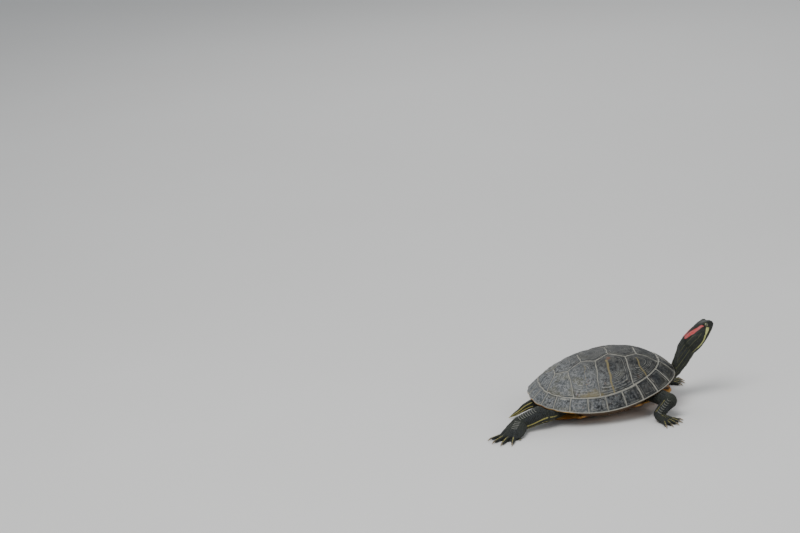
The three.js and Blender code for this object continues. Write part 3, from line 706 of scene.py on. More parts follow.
dip = 0.4 * np.exp(-((seam_gap / 0.55) ** 2)) + 0.12 * ripple(plan, 12, 9) + 0.1
growth = ring_ridges(np.clip(seam_gap / 16, 0, 1), 16 / 1.7, plan, 9) * smooth(0.4, 1.2, seam_gap)
dip = (dip + 0.12 * growth) * smooth(0, 2, edge_gap) + 0.7 * smooth(1.8, 0, edge_gap)
below = np.stack([plan[..., 0], plan[..., 1], rise + dip], -1)
above = np.stack([plan[..., 0], plan[..., 1], rise + thickness - 0.3 - 0.6 * smooth(2, 0, edge_gap)], -1)
layer = (rows + 1) * (columns + 1)
points = on_floor(np.concatenate([below.reshape(-1, 3), above.reshape(-1, 3)]))
points[:, 2] = np.maximum(points[:, 2], 0)
faces = []
for i in range(rows):
    for j in range(columns):
        corner = i * (columns + 1) + j
        quad = (corner, corner + 1, corner + columns + 2, corner + columns + 1)
        faces += [quad, tuple(k + layer for k in reversed(quad))]
loop = [(0, j) for j in range(columns)] + [(i, columns) for i in range(rows)]
loop += [(rows, j) for j in range(columns, 0, -1)] + [(i, 0) for i in range(rows, 0, -1)]
loop = [i * (columns + 1) + j for i, j in loop]
faces += [(b, a, a + layer, b + layer) for a, b in zip(loop, loop[1:] + loop[:1])]
fields = horn_fields(
    2 * layer,
    seam=np.tile(seam_gap.ravel() + 0.35, 2),
    groove=np.tile(growth.ravel(), 2),
    tint=np.full(2 * layer, 0.5),
    blotch=np.tile(blotch_gap.ravel(), 2),
    under=np.ones(2 * layer),
)
new_piece("plastron", points, turned_out(points, faces), fields, plastron_horn, ["plastron"])

# ---- The skin ----
# One skin over the trunk inside the shell, the neck, head, tail and legs. Each length is laid down as a
# closed tube, all are fused into one surface, and the head then gets its lids, mouth, nostrils and ear.
VOXEL = 0.68
COAT = 0.35  # the scales stand this far over the skin
NAPE = np.array([169.4, 0, 58.8])
HEAD_RAISE = math.radians(43)
HEAD_SECTIONS = [
    (0, 12, 11, -10.4),
    (6, 13, 11.6, -11),
    (13, 13.4, 11.6, -11),
    (20, 12.7, 11.2, -10.1),
    (26, 11.3, 10.7, -9),
    (31, 9.5, 9.6, -7.9),
    (35.5, 7, 7.2, -6.7),
    (39, 4.3, 3.9, -5.3),
    (41.5, 1.8, 0.8, -3.5),
]
HEAD_SQUARENESS = 0.86
HEAD_EASE = 1.6  # sections this far to each side are averaged
EYE_PLACE = np.array([34.2, 6.1, 4.1])
EYE_RADIUS = 3.0
GAZE = np.array([0.36, 0.9, 0.2]) / math.hypot(0.36, 0.9, 0.2)
MOUTH_LINE = [(44, -1.9), (38.5, -2.4), (32, -3.2), (26, -3.4), (22, -4.4)]
UP = np.array([0, 0, 1.0])

NECK = {
    "at": [(112, 0, 25), (127, 0, 26.5), (144, 0, 31), (158.5, 0, 44), tuple(NAPE), (176, 0, 65)],
    "wide": [14, 14, 13.4, 12, 12, 11],
    "deep": [9, 9.3, 11, 10.8, 10.8, 10],
}
TAIL = {
    "at": [(14, 0, 17), (-8, 0, 15.5), (-22, -1, 12), (-33, -2, 6.3), (-44, -3, 1.6)],
    "wide": [9, 7, 4.9, 3.2, 1],
    "deep": [8, 6.6, 4.8, 3.1, 1],
}
LEGS = {
    "front_right": {
        "joints": [(115, 28, 20), (134, 62, 19.5), (118, 71, 7.5)],
        "heading": 50,
        "hint": (0, 0.6, 1),
    },
    "front_left": {
        "joints": [(113, 26, 21), (133, 54, 23), (142, 47, 7.5)],
        "heading": 4,
        "hint": (0, 0.6, 1),
    },
    "hind_right": {
        "joints": [(20, 26, 16), (-8, 45, 17.5), (-37.5, 48.5, 9.6)],
        "heading": 126,
        "hint": (0, 0, 1),
    },
    "hind_left": {
        "joints": [(22, 26, 16), (14, 53, 18.5), (32, 61, 9.6)],
        "heading": 82,
        "hint": (0.3, 0.3, 1),
    },
}
LEG_SIZES = {
    "front": {
        "wide": [10, 9, 7.2, 6],
        "deep": [8.5, 8.6, 6.6, 5.6],
        "palm": {"length": 15, "wide": 8.6, "deep": [4.8, 3.5, 2.2]},
        "toe": {"lengths": [11.5, 12.5, 13, 12.5, 11.5], "spread": 78, "web": 0.4, "claws": 5, "claw": 7},
    },
    "hind": {
        "wide": [12, 12, 10.4, 9.3],
        "deep": [9, 11.6, 10, 9],
        "palm": {"length": 25, "wide": 14.5, "deep": [6.8, 4.6, 2.8]},
        "toe": {"lengths": [20, 23.5, 25, 23, 12], "spread": 76, "web": 0.75, "claws": 4, "claw": 6.5},
    },
}


class Tube:
    """A length of flesh: its middle line, half width and half depth, and the way its depth faces."""

    def __init__(self, at, wide, deep, hint=UP, steps=60):
        along = rounded_line(np.asarray(at, float), steps)
        place = np.linspace(0, len(at) - 1, steps)
        i = np.minimum(place.astype(int), len(at) - 2)
        share = smooth(0, 1, place - i)
        wide, deep = np.asarray(wide, float), np.asarray(deep, float)
        self.middle = along
        self.wide = mix(wide[i], wide[i + 1], share) - COAT
        self.deep = mix(deep[i], deep[i + 1], share) - COAT
        self.wide, self.deep = np.maximum(self.wide, 0.5), np.maximum(self.deep, 0.5)
        self.run = np.concatenate([[0], np.cumsum(np.linalg.norm(np.diff(along, axis=0), axis=1))])
        self.tangent = np.gradient(along, axis=0)
        self.tangent /= np.linalg.norm(self.tangent, axis=1, keepdims=True)
        hint = np.asarray(hint, float)
        self.up = hint - self.tangent * (self.tangent @ hint)[:, None]
        self.up /= np.linalg.norm(self.up, axis=1, keepdims=True)
        self.across = np.cross(self.tangent, self.up)

    def rings(self, around=28):
        angle = np.linspace(0, 2 * math.pi, around, endpoint=False)
        wide = self.wide[:, None, None] * np.cos(angle)[None, :, None] * self.across[:, None]
        deep = self.deep[:, None, None] * np.sin(angle)[None, :, None] * self.up[:, None]
        return self.middle[:, None] + wide + deep

    def coordinates(self, points):
        """How far along each point is, its angle from the top, and its distance as a share of the radius."""
        along = np.empty(len(points))
        angle = np.empty(len(points))
        share = np.empty(len(points))
        for start in range(0, len(points), 20000):
            part = slice(start, start + 20000)
            offset = points[part, None] - self.middle[None]
            near = np.argmin((offset**2).sum(-1), 1)
            best = offset[np.arange(len(near)), near]
            forth = (best * self.tangent[near]).sum(-1)
            side = (best * self.across[near]).sum(-1)
            top = (best * self.up[near]).sum(-1)
            beyond = np.where((near == 0) | (near == len(self.run) - 1), np.abs(forth), 0)
            angle[part] = np.arctan2(side, top)
            along[part] = self.run[near] + forth
            share[part] = np.hypot(side / self.wide[near], top / self.deep[near]) + beyond / 6
        return along, angle, share

    def radius(self, along):
        return np.interp(along, self.run, (self.wide + self.deep) / 2)


def out_from(start, distance, angle, z):
    return (start[0] + distance * math.cos(angle), start[1] + distance * math.sin(angle), z)


LEG_STEPS = 40  # along a tube
TOE_STEPS = 24
BELOW_KNEE = 0.94  # of the knee's size
CLAWED_TOE = ([2.9, 2.5, 2.1], [2.6, 2.5, 1.9])  # half widths and half depths, from the foot out
BARE_TOE = ([2.7, 2.2, 1.3], [2.4, 1.9, 1.3])


def leg_tubes(name, leg):
    """The upper and lower leg, the palm and the toes, with where each claw sits."""
    end, side_name = name.split("_")
    sizes, side = LEG_SIZES[end], SIDES[side_name]
    joints = [np.array([x, side * y, z]) for x, y, z in leg["joints"]]
    hint = np.array([leg["hint"][0], side * leg["hint"][1], leg["hint"][2]], float)
    wide, deep, palm, toe = sizes["wide"], sizes["deep"], sizes["palm"], sizes["toe"]
    hip, knee, ankle = joints
    upper = Tube(
        [hip, (hip + knee) / 2, knee],
        [wide[0], mix(wide[0], wide[1], 0.5), wide[1]],
        [deep[0], mix(deep[0], deep[1], 0.5), deep[1]],
        hint,
        LEG_STEPS,
    )
    lower = Tube(
        [knee, (knee + ankle) / 2, ankle],
        [wide[1] * BELOW_KNEE, wide[2], wide[3]],
        [deep[1] * BELOW_KNEE, deep[2], deep[3]],
        hint,
        LEG_STEPS,
    )
    heading = side * math.radians(leg["heading"])
    stations = [(ankle, wide[3], deep[3])]
    for (share, width), depth in zip([(0.4, 0.9), (0.8, 1), (1.15, 0.8)], palm["deep"]):
        place = out_from(ankle, palm["length"] * share, heading, depth)
        stations.append((place, palm["wide"] * width, depth))
    foot = Tube(*[list(row) for row in zip(*stations)], UP, LEG_STEPS)
    toes, claws, web = [], [], [out_from(ankle, palm["length"] * 0.3, heading, 0)]
    for i, length in enumerate(toe["lengths"]):
        turn = (0.5 - i / 4) * math.radians(toe["spread"]) * side
        base = out_from(ankle, palm["length"] * 0.75, heading + turn * 0.5, 2.6)
        tip = out_from(base, length, heading + turn, 1.8)
        knuckle = out_from(base, length * 0.5, heading + turn, 2.5)
        at = [base, knuckle, tip]
        toe_wide, toe_deep = CLAWED_TOE if i < toe["claws"] else BARE_TOE
        toes.append(Tube(at, toe_wide, toe_deep, UP, TOE_STEPS))
        web.append(out_from(base, length * toe["web"], heading + turn, 0))
        if i < toe["claws"]:
            claws.append((np.array(tip), heading + turn, toe["claw"]))
    return {"upper": upper, "lower": lower, "palm": foot, "toes": toes, "web": np.array(web), "claws": claws}


def head_world(points):
    c, s = math.cos(HEAD_RAISE), math.sin(HEAD_RAISE)
    x, y, z = points[..., 0], points[..., 1], points[..., 2]
    return np.stack([NAPE[0] + x * c - z * s, NAPE[1] + y, NAPE[2] + x * s + z * c], -1)


def head_local(points):
    c, s = math.cos(HEAD_RAISE), math.sin(HEAD_RAISE)
    x, y, z = points[..., 0] - NAPE[0], points[..., 1] - NAPE[1], points[..., 2] - NAPE[2]
    return np.stack([x * c + z * s, y, -x * s + z * c], -1)


def head_size(x):
    """Half width, top and bottom of the head at distances from the nape."""
    table = np.array(HEAD_SECTIONS, float)
    places = [np.clip(x + shift, 0, table[-1, 0]) for shift in (0, -HEAD_EASE, HEAD_EASE)]
    return [sum(np.interp(place, table[:, 0], table[:, k]) for place in places) / 3 for k in (1, 2, 3)]


def head_rings(around=56, steps=64):
    x = np.concatenate([np.linspace(-6, 40.5, steps), [41.2, 41.6]])
    wide, top, bottom = head_size(x)
    taper = np.where(x > 41, 0.55, 1) * np.where(x > 41.4, 0.3, 1) * mix(0.86, 1, smooth(-7, 5, x))
    angle = np.linspace(0, 2 * math.pi, around, endpoint=False)
    c, s = np.cos(angle), np.sin(angle)
    round_c, round_s = np.sign(c) * np.abs(c) ** HEAD_SQUARENESS, np.sign(s) * np.abs(s) ** HEAD_SQUARENESS
    tall = np.where(s[None] > 0, top[:, None], -bottom[:, None])
    y = ((wide - 0.15) * taper)[:, None] * round_c[None]
    z = (tall - 0.15) * taper[:, None] * round_s[None] + np.where(x > 41, -1.2, 0)[:, None]
    return head_world(np.stack([x[:, None] + 0 * y, y, z], -1))


def ball_rings(middle, radius, steps=14, around=22):
    polar_angle = np.linspace(0.06, math.pi - 0.06, steps)
    angle = np.linspace(0, 2 * math.pi, around, endpoint=False)
    ring = np.stack([np.cos(angle), np.sin(angle)], -1)[None] * np.sin(polar_angle)[:, None, None]
    height = np.cos(polar_angle)[:, None] + 0 * angle[None]
    return np.asarray(middle) + radius * np.concatenate([ring, height[..., None]], -1)


def trunk_rings(around=72):
    """The flesh inside the shell, which shows in its openings before and behind."""
    bearing = np.linspace(0, 2 * math.pi, around, endpoint=False)
    bridge = over_bridge(degrees_off(bearing))
    under_plates = np.full(around, -PLATE_THICKNESS - 1.8)
    shares = (0.05, 0.3, 0.6, 0.85, 0.97)
    rings = [dome_lifted(share * belt_share(bearing), bearing, under_plates) for share in shares]

    def out(reach, z):
        return np.stack([SHELL_MIDDLE_X + reach * np.cos(bearing), reach * np.sin(bearing), z], -1)

    rings.append(out(rim_reach(bearing) - mix(20, 12, bridge), rim_height(bearing) + mix(0.5, -2, bridge)))
    rings.append(out(0.62 * rim_reach(bearing), PLASTRON_THICKNESS + 1.9 + 2 * bridge))
    return on_floor(np.array(rings))


def ring_solid(rings):
    """Points and faces of a closed solid through rings."""
    steps, around = rings.shape[:2]
    points = rings.reshape(-1, 3)
    faces = []
    for k in range(steps - 1):
        faces += ring_faces(k * around, (k + 1) * around, around)
    faces += [tuple(reversed(range(around))), tuple(range((steps - 1) * around, steps * around))]
    return points, turned_out(points, faces)


def web_solid(edge):
    """The skin between the toes, its edge drawn in between one toe and the next."""
    rim = [edge[0]]
    for first, second in zip(edge[1:], edge[2:]):
        for share in np.linspace(0, 1, 8, endpoint=False):
            drawn_in = 1 - 0.1 * math.sin(math.pi * share)
            rim.append(edge[0] + (mix(first, second, share) - edge[0]) * drawn_in)
    rim.append(edge[-1])
    rim = np.array(rim)
    return ring_solid(np.array([rim + UP * 0.6, rim + UP * 1.9]))


legs = {name: leg_tubes(name, leg) for name, leg in LEGS.items()}
neck, tail = (Tube(tube["at"], tube["wide"], tube["deep"]) for tube in (NECK, TAIL))
eye_centres = [head_world(EYE_PLACE * np.array([1, side, 1])) for side in SIDES.values()]

solids = [ring_solid(tube.rings()) for tube in (neck, tail)]
solids += [ring_solid(head_rings()), ring_solid(trunk_rings())]
solids += [ring_solid(ball_rings(centre - 0.5 * (head_world(GAZE * [1, side, 1]) - NAPE), 3.3))
           for centre, side in zip(eye_centres, SIDES.values())]
for name, leg in legs.items():
    sizes = LEG_SIZES[name.split("_")[0]]
    solids += [ring_solid(tube.rings()) for tube in (leg["upper"], leg["lower"], leg["palm"])]
    solids += [ring_solid(tube.rings(14)) for tube in leg["toes"]]
    solids.append(ring_solid(ball_rings(leg["upper"].middle[-1], sizes["wide"][1] - COAT - 0.1)))
    solids.append(ring_solid(ball_rings(leg["lower"].middle[-1], sizes["deep"][3] - COAT)))
    solids += [ring_solid(ball_rings(toe.middle[-1], toe.deep[-1] + 0.1, 8, 12)) for toe in leg["toes"]]
    solids.append(web_solid(leg["web"]))

all_points, all_faces = [], []
for points, faces in solids:
    shift = sum(len(part) for part in all_points)
    all_points.append(points)
    all_faces += [tuple(k + shift for k in face) for face in faces]
flesh_mesh = bpy.data.meshes.new("flesh")
flesh_mesh.from_pydata((np.concatenate(all_points) * MM).tolist(), [], all_faces)
flesh = bpy.data.objects.new("flesh", flesh_mesh)
bpy.context.scene.collection.objects.link(flesh)
fuse = flesh.modifiers.new("fuse", "REMESH")
fuse.mode = "VOXEL"
fuse.voxel_size = VOXEL * MM
soften = flesh.modifiers.new("soften", "SMOOTH")
soften.factor = 0.5
soften.iterations = 8
fused = bpy.data.meshes.new_from_object(flesh.evaluated_get(bpy.context.evaluated_depsgraph_get()))
bpy.data.objects.remove(flesh)


def mesh_points(mesh):
    points = np.empty(len(mesh.vertices) * 3, np.float32)
    mesh.vertices.foreach_get("co", points)
    return points.reshape(-1, 3).astype(float) / MM


def in_shell_frame(points):
    """World points in the shell's own frame."""
    middle = (BELLY_FLAT["from"] + BELLY_FLAT["to"]) / 2
    depth = (BELLY_FLAT["from"] - middle) * math.tan(SHELL_PITCH)
    c, s = math.cos(SHELL_PITCH), math.sin(SHELL_PITCH)
    x, y, z = points[..., 0], points[..., 1], points[..., 2]
    return np.stack([x * c + z * s + middle, y, -x * s + z * c + depth], -1)


def depth_in_shell(points):
    """How far in from the rim each point lies, in plan; below zero is outside."""
    local = in_shell_frame(points)
    bearing = np.arctan2(local[..., 1], local[..., 0] - SHELL_MIDDLE_X)
    return rim_reach(bearing) - np.hypot(local[..., 0] - SHELL_MIDDLE_X, local[..., 1])


def soft_below(value, limit, softness=0.6):
    """The value held under a limit, easing up to it."""
    return limit - softness * np.logaddexp(0, (limit - value) / softness)


def tucked_in(points):
    """The flesh held off the shell: below the marginals' underside and above the plastron."""
    local = in_shell_frame(points)
    bearing = np.arctan2(local[:, 1], local[:, 0] - SHELL_MIDDLE_X)
    reach, rim = rim_reach(bearing), rim_height(bearing)
    inset = reach - np.hypot(local[:, 0] - SHELL_MIDDLE_X, local[:, 1])
    degrees = degrees_off(bearing)
    bridge = over_bridge(degrees)
    (near, near_rise), (deep, deep_rise) = underside(bridge)
    heights = [rim - 2.6, rim + near_rise - 0.6, rim + deep_rise - 0.6]
    inner = np.where(inset < near, mix(heights[0], heights[1], np.clip(inset / near, 0, 1)),
                     mix(heights[1], heights[2], np.clip((inset - near) / (deep - near), 0, 1)))
    steep = mix(2.2, 0.5, smooth(22, 60, degrees))
    outer = heights[0] + steep * -inset + 40 * smooth(-8, -20, inset)
    ceiling = np.where(inset < 0, outer, inner)
    held = (inset < 16) & (inset > -20) & (local[:, 0] < 120)
    z = np.where(held, soft_below(local[:, 2], ceiling), local[:, 2])
    beside = np.abs(local[:, 1])
    to_side = plastron_half_width(np.clip(local[:, 0], -76.9, 79.4)) - beside
    to_end = np.minimum(PLASTRON_REACH["front"] - local[:, 0], local[:, 0] + PLASTRON_REACH["rear"])
    to_edge = np.minimum(to_side, to_end)
    floor_top = BRIDGE_RISE * smooth(34, 60, beside) + PLASTRON_THICKNESS + 0.4
    lowest = floor_top - 2.5 * np.maximum(0, -to_edge - 0.3)
    over_plastron = (to_edge > -4) & (z > -1)
    z = np.where(over_plastron, -soft_below(-z, -lowest, 0.35), z)
    return on_floor(np.stack([local[:, 0], local[:, 1], z], -1))


# The head is divided once more for its fine features, and the hidden trunk is thinned out.
work = bmesh.new()
work.from_mesh(fused)
local = head_local(mesh_points(fused))
on_head = (local[:, 0] > 8) & (np.abs(local[:, 2]) < 20)
work.edges.ensure_lookup_table()
fine_edges = [edge for edge in work.edges if all(on_head[vert.index] for vert in edge.verts)]
bmesh.ops.subdivide_edges(work, edges=fine_edges, cuts=1, use_grid_fill=True)
bmesh.ops.triangulate(work, faces=[face for face in work.faces if len(face.verts) > 4])
work.to_mesh(fused)
work.free()
points = mesh_points(fused)
deep_inside = smooth(17, 24, depth_in_shell(points))
flesh = bpy.data.objects.new("flesh", fused)
bpy.context.scene.collection.objects.link(flesh)
hidden = flesh.vertex_groups.new(name="hidden")
for index in np.nonzero(deep_inside > 0)[0]:
    hidden.add([int(index)], float(deep_inside[index]), "REPLACE")
thin = flesh.modifiers.new("thin", "DECIMATE")
thin.ratio = 1 - 0.93 * float((deep_inside > 0.5).mean())
thin.vertex_group = "hidden"
thinned = bpy.data.meshes.new_from_object(flesh.evaluated_get(bpy.context.evaluated_depsgraph_get()))
bpy.data.objects.remove(flesh)


def vertex_normals(mesh):
    normals = np.empty(len(mesh.vertices) * 3, np.float32)
    mesh.vertex_normals.foreach_get("vector", normals)
    return normals.reshape(-1, 3).astype(float)


def polyline_gap(places, line):
    """Distance from points to a line in a plane."""
    line = np.asarray(line, float)
    gap = np.full(places.shape[:-1], 99.0)
    for a, b in zip(line, line[1:]):
        run = b - a
        share = np.clip(((places - a) @ run) / (run @ run), 0, 1)
        gap = np.minimum(gap, np.linalg.norm(places - a - share[..., None] * run, axis=-1))
    return gap


# Each relief is a height, where it lies across its feature, and a half width.
MOUTH_RELIEF = [(-0.8, 0, 0.38), (0.22, 1.1, 0.8), (0.12, -1.2, 0.8)]
NOSTRIL = {"x": 40.6, "y": 1.5, "z": 1.1, "rim": (0.35, 1.5), "hole": (-1.5, 0.62)}
EAR = {"x": 17.5, "z": -0.2, "ring": 0.3, "radius": 4.2, "width": 0.9}
BROW_LINE = [(26, 8.6), (31, 8.8), (36.5, 6.6)]
BROW_RISE, BROW_WIDTH = 0.3, 1.1
TEMPLE = {"x": 32.5, "y": 4.6, "z": 7.2, "rise": 0.95, "size": (5.5, 3.2, 3.2)}
LID_TILTS = np.radians([0, 38, 50, 56, 63, 74, 86])  # away from the gaze
LID_RISES = np.array([-0.55, -0.5, 0.04, 0.42, 0.42, 0.12, 0.1])  # off the ball, at each tilt


def head_features(points, normals):
    """Carves the mouth, nostrils and ear rings into the head, and raises the lids round the eyes."""
    local = head_local(points)
    on_head = smooth(8, 14, local[:, 0])
    lift = np.zeros(len(points))
    mouth_z = np.interp(local[:, 0], [x for x, _ in MOUTH_LINE[::-1]], [z for _, z in MOUTH_LINE[::-1]])
    from_mouth = local[:, 2] - mouth_z
    mouth_reach = smooth(20.5, 23.5, local[:, 0])
    for height, above, width in MOUTH_RELIEF:
        lift += height * np.exp(-(((from_mouth - above) / width) ** 2)) * mouth_reach
    for side in SIDES.values():
        nostril = np.linalg.norm(local - [NOSTRIL["x"], side * NOSTRIL["y"], NOSTRIL["z"]], axis=1)
        for height, width in (NOSTRIL["rim"], NOSTRIL["hole"]):
            lift += height * np.exp(-((nostril / width) ** 2))
        ear = np.hypot(local[:, 0] - EAR["x"], local[:, 2] - EAR["z"])
        beside = (side * local[:, 1] > 5) * 1.0
        ring = np.exp(-(((ear - EAR["radius"]) / EAR["width"]) ** 2)) - smooth(3.6, 2.4, ear)
        lift += beside * EAR["ring"] * ring
        brow = polyline_gap(local[:, [0, 2]], BROW_LINE)
        lift += beside * BROW_RISE * np.exp(-((brow / BROW_WIDTH) ** 2))
        temple = (local - [TEMPLE["x"], side * TEMPLE["y"], TEMPLE["z"]]) / TEMPLE["size"]
        lift += TEMPLE["rise"] * np.exp(-(temple**2).sum(1))
    lift += 0.1 * ripple(local, 6, 21) * on_head
    moved = points + normals * (lift * np.maximum(on_head, mouth_reach))[:, None]
    for side in SIDES.values():
        centre = head_world(EYE_PLACE * [1, side, 1])
        gaze = head_world(GAZE * [1, side, 1]) - NAPE
        offset = moved - centre
        reach = np.linalg.norm(offset, axis=1)
        forth = head_world(np.array([1.0, 0, 0])) - NAPE
        forth = forth - gaze * (forth @ gaze)
        forth /= np.linalg.norm(forth)
        over = np.cross(gaze, forth) * side
        along, up = offset @ forth, offset @ over
        tilt = np.arctan2(np.hypot(along, up * 1.12), offset @ gaze)
        lid = EYE_RADIUS + np.interp(tilt, LID_TILTS, LID_RISES)
        hold = smooth(math.radians(90), math.radians(68), tilt) * (reach < 7)
        target = centre + offset / np.maximum(reach, 0.01)[:, None] * lid[:, None]
        moved = moved + (target - moved) * hold[:, None]
    return moved


NECK_STRIPES = [(24, 0.6), (45, 0.8), (66, 0.6), (87, 0.9), (110, 0.7), (132, 0.9), (156, 0.8)]
TOE_STRIPE = (0, 0.7, 3, 30)
# Each stripe's angle from the top, its width, and where along the limb it starts and ends.
STRIPES = {
    "neck": [(angle, width, 6, 90) for angle, width in NECK_STRIPES],
    "tail": [(52, 1.2, 6, 62), (100, 1.4, 4, 62), (150, 1.0, 0, 62)],
    "front": [(24, 0.6, 4, 22), (146, 1.3, 0, 60)],
    "hind": [(104, 1.6, 0, 60), (134, 1.0, 0, 60)],
}
RED_MARK = [(31, 139), (26, 134), (19, 124), (12.5, 113), (8.8, 108)]  # distance from the nape, angle from +Y
CHEEK_MARKS = [
    ([(33.5, 174), (31, 184), (27, 193), (20, 203), (14, 206), (9, 205)], 1.9),
    ([(9, 205), (4, 204), (-4, 200)], 0.8),
    ([(34, 229), (28, 236), (18, 240), (6, 238), (-4, 232)], 0.7),
    ([(35, 262), (28, 262), (12, 258), (-4, 254)], 0.9),
]
FAINT_CHEEK_MARKS = [
    ([(24, 166), (17, 170), (6, 167), (-4, 160)], 0.6),
    ([(18, 146), (10, 143), (-5, 138)], 0.5),
]


def limb_marks(tube, points, stripes):
    along, angle, share = tube.coordinates(points)
    degrees = np.degrees(np.abs(angle))
    radius = tube.radius(along)
    sway = 5 * ripple(np.stack([along, 0 * along], -1), 30, 31)
    gap = np.full(len(points), 9.0)
    for middle, width, start, end in stripes:
        across = np.abs(degrees - middle - sway) * math.pi / 180 * radius - width / 2
        beyond = np.maximum(0, np.maximum(start - along, along - end))
        gap = np.minimum(gap, across + beyond)
    return gap, share


def head_chart(x, degrees):
    """A flat chart of the head's sides: distance from the nape, and millimetres round from the crown."""
    wide, top, _ = head_size(x)
    return np.stack([x, degrees * math.pi / 180 * (wide + top) / 2], -1)


def skin_marks(points):
    """Fields of the markings: millimetres outside the nearest pale stripe and the red mark, below zero on
    them, then 1 on the head, and 1 where stripes are dull, on the neck and cheek."""
    pale = np.full(len(points), 9.0)
    best = np.full(len(points), 1.6)
    dull = np.zeros(len(points))
    limbs = [(neck, STRIPES["neck"]), (tail, STRIPES["tail"])]
    for name, leg in legs.items():
        stripes = STRIPES[name.split("_")[0]]
        front = "front" in name
        limbs += [(leg["upper"], stripes), (leg["lower"], stripes), (leg["palm"], stripes if front else [])]
        limbs += [(toe, [TOE_STRIPE]) for toe in leg["toes"][:4]]
        limbs.append((leg["toes"][4], [TOE_STRIPE] if front else [(0, 2.0, 1, 30), (100, 1.4, 0, 30)]))
    for tube, stripes in limbs:
        gap, share = limb_marks(tube, points, stripes)
        nearer = share < best
        pale = np.where(nearer, gap, pale)
        dull = np.where(nearer, float(tube is neck), dull)
        best = np.minimum(best, share)
    local = head_local(points)
    chart = head_chart(local[:, 0], 180 - np.degrees(np.arctan2(local[:, 2], np.abs(local[:, 1]))))

    def nearest(marks):
        gap = np.full(len(points), CLEAR)
        for line, width in marks:
            x, degrees = np.array(line, float).T
            gap = np.minimum(gap, polyline_gap(chart, head_chart(x, degrees)) - width / 2)
        return gap

    cheek, faint = nearest(CHEEK_MARKS), nearest(FAINT_CHEEK_MARKS)
    dull = np.where(local[:, 0] > 1, 1.0 * (faint < cheek), dull)
    cheek = np.minimum(cheek, faint)
    pale = np.where(local[:, 0] > 1, cheek, pale) + 6 * smooth(1.5, 6, depth_in_shell(points))
    x, degrees = np.array(RED_MARK, float).T
    swell = 1.05 + 2.2 * smooth(30, 15, local[:, 0]) - 0.6 * smooth(10, 5, local[:, 0])
    red = polyline_gap(chart, head_chart(x, degrees)) - swell
    red = np.where(local[:, 0] > -2, red, 9)
    head = smooth(-4, 2, local[:, 0])
    return {"pale": pale, "red": red, "head": head, "dull": dull}


def add_fields(mesh, fields):
    for name, values in fields.items():
        attribute = mesh.attributes.new(name, "FLOAT", "POINT")
        attribute.data.foreach_set("value", np.asarray(values, np.float32).ravel())


points = tucked_in(mesh_points(thinned))
points = head_features(points, vertex_normals(thinned))
normals = vertex_normals(thinned)
visible = smooth(16, 8, depth_in_shell(points))
local = head_local(points)
off_head = smooth(14, 4, local[:, 0])
wrinkle = np.zeros(len(points))
along, angle, share = neck.coordinates(points)
on_neck = smooth(1.5, 1.15, share) * off_head * smooth(8, 16, along)
folds = np.sin(along / 1.9 + 1.6 * ripple(np.stack([along, 6 * angle], -1), 12, 41))
wrinkle -= 0.3 * on_neck * np.clip(folds, 0, 1) ** 2
creases = np.sin(angle * 17 + 0.6 * ripple(np.stack([along, 6 * angle], -1), 9, 42))
wrinkle -= 0.16 * on_neck * np.clip(creases, 0, 1) ** 3
for leg in legs.values():
    for first, second in ((leg["upper"], leg["lower"]), (leg["lower"], leg["palm"])):
        joint = second.middle[0]
        offset = points - joint
        near = np.exp(-((np.linalg.norm(offset, axis=1) / 9) ** 2))
        bend = offset @ ((first.tangent[-1] + second.tangent[0]) / 2)
        wrinkle -= 0.4 * near * np.clip(np.sin(bend / 0.85), 0, 1) ** 2
for name, leg in legs.items():
    ankle = leg["palm"].middle[0]
    gap = np.full(len(points), 99.0)
    for toe in leg["toes"]:
        start = mix(ankle, toe.middle[0], 0.45)
        gap = np.minimum(gap, polyline_gap(points[:, :2], [start[:2], toe.middle[0][:2], toe.middle[-1][:2]]))
    from_ankle = np.linalg.norm(points - ankle, axis=1)
    size = LEG_SIZES[name.split("_")[0]]["palm"]["length"]
    foot = smooth(0.55 * size, 0.8 * size, from_ankle) * smooth(3.0 * size, 2.4 * size, from_ankle)
    foot *= smooth(-0.1, 0.5, normals[:, 2]) * (gap < 9) * (points[:, 2] < 14)
    wrinkle += foot * (0.62 * np.exp(-((gap / 1.35) ** 2)) - 0.42 * smooth(1.6, 2.6, gap))
wrinkle += 0.14 * ripple(points, 8, 43) * off_head + 0.06 * ripple(points, 2.4, 44) * off_head
points = points + normals * (wrinkle * visible)[:, None]
points[:, 2] = np.maximum(points[:, 2], 0.12)
thinned.vertices.foreach_set("co", (points * MM).astype(np.float32).ravel())
skin_points = points

SKIN_DARK = (0.005, 0.007, 0.0055)
SKIN_OLIVE = (0.018, 0.022, 0.013)
SKIN_SLATE = (0.026, 0.03, 0.033)
STRIPE_YELLOW = (0.42, 0.37, 0.11)
STRIPE_LIME = (0.46, 0.47, 0.17)
STRIPE_DULL = (0.085, 0.09, 0.04)
STRIPE_DARK = (0.009, 0.011, 0.008)
SCALE_EDGE = (0.27, 0.27, 0.235)
EAR_RED = (0.46, 0.04, 0.042)
EAR_ROSE = (0.42, 0.12, 0.115)


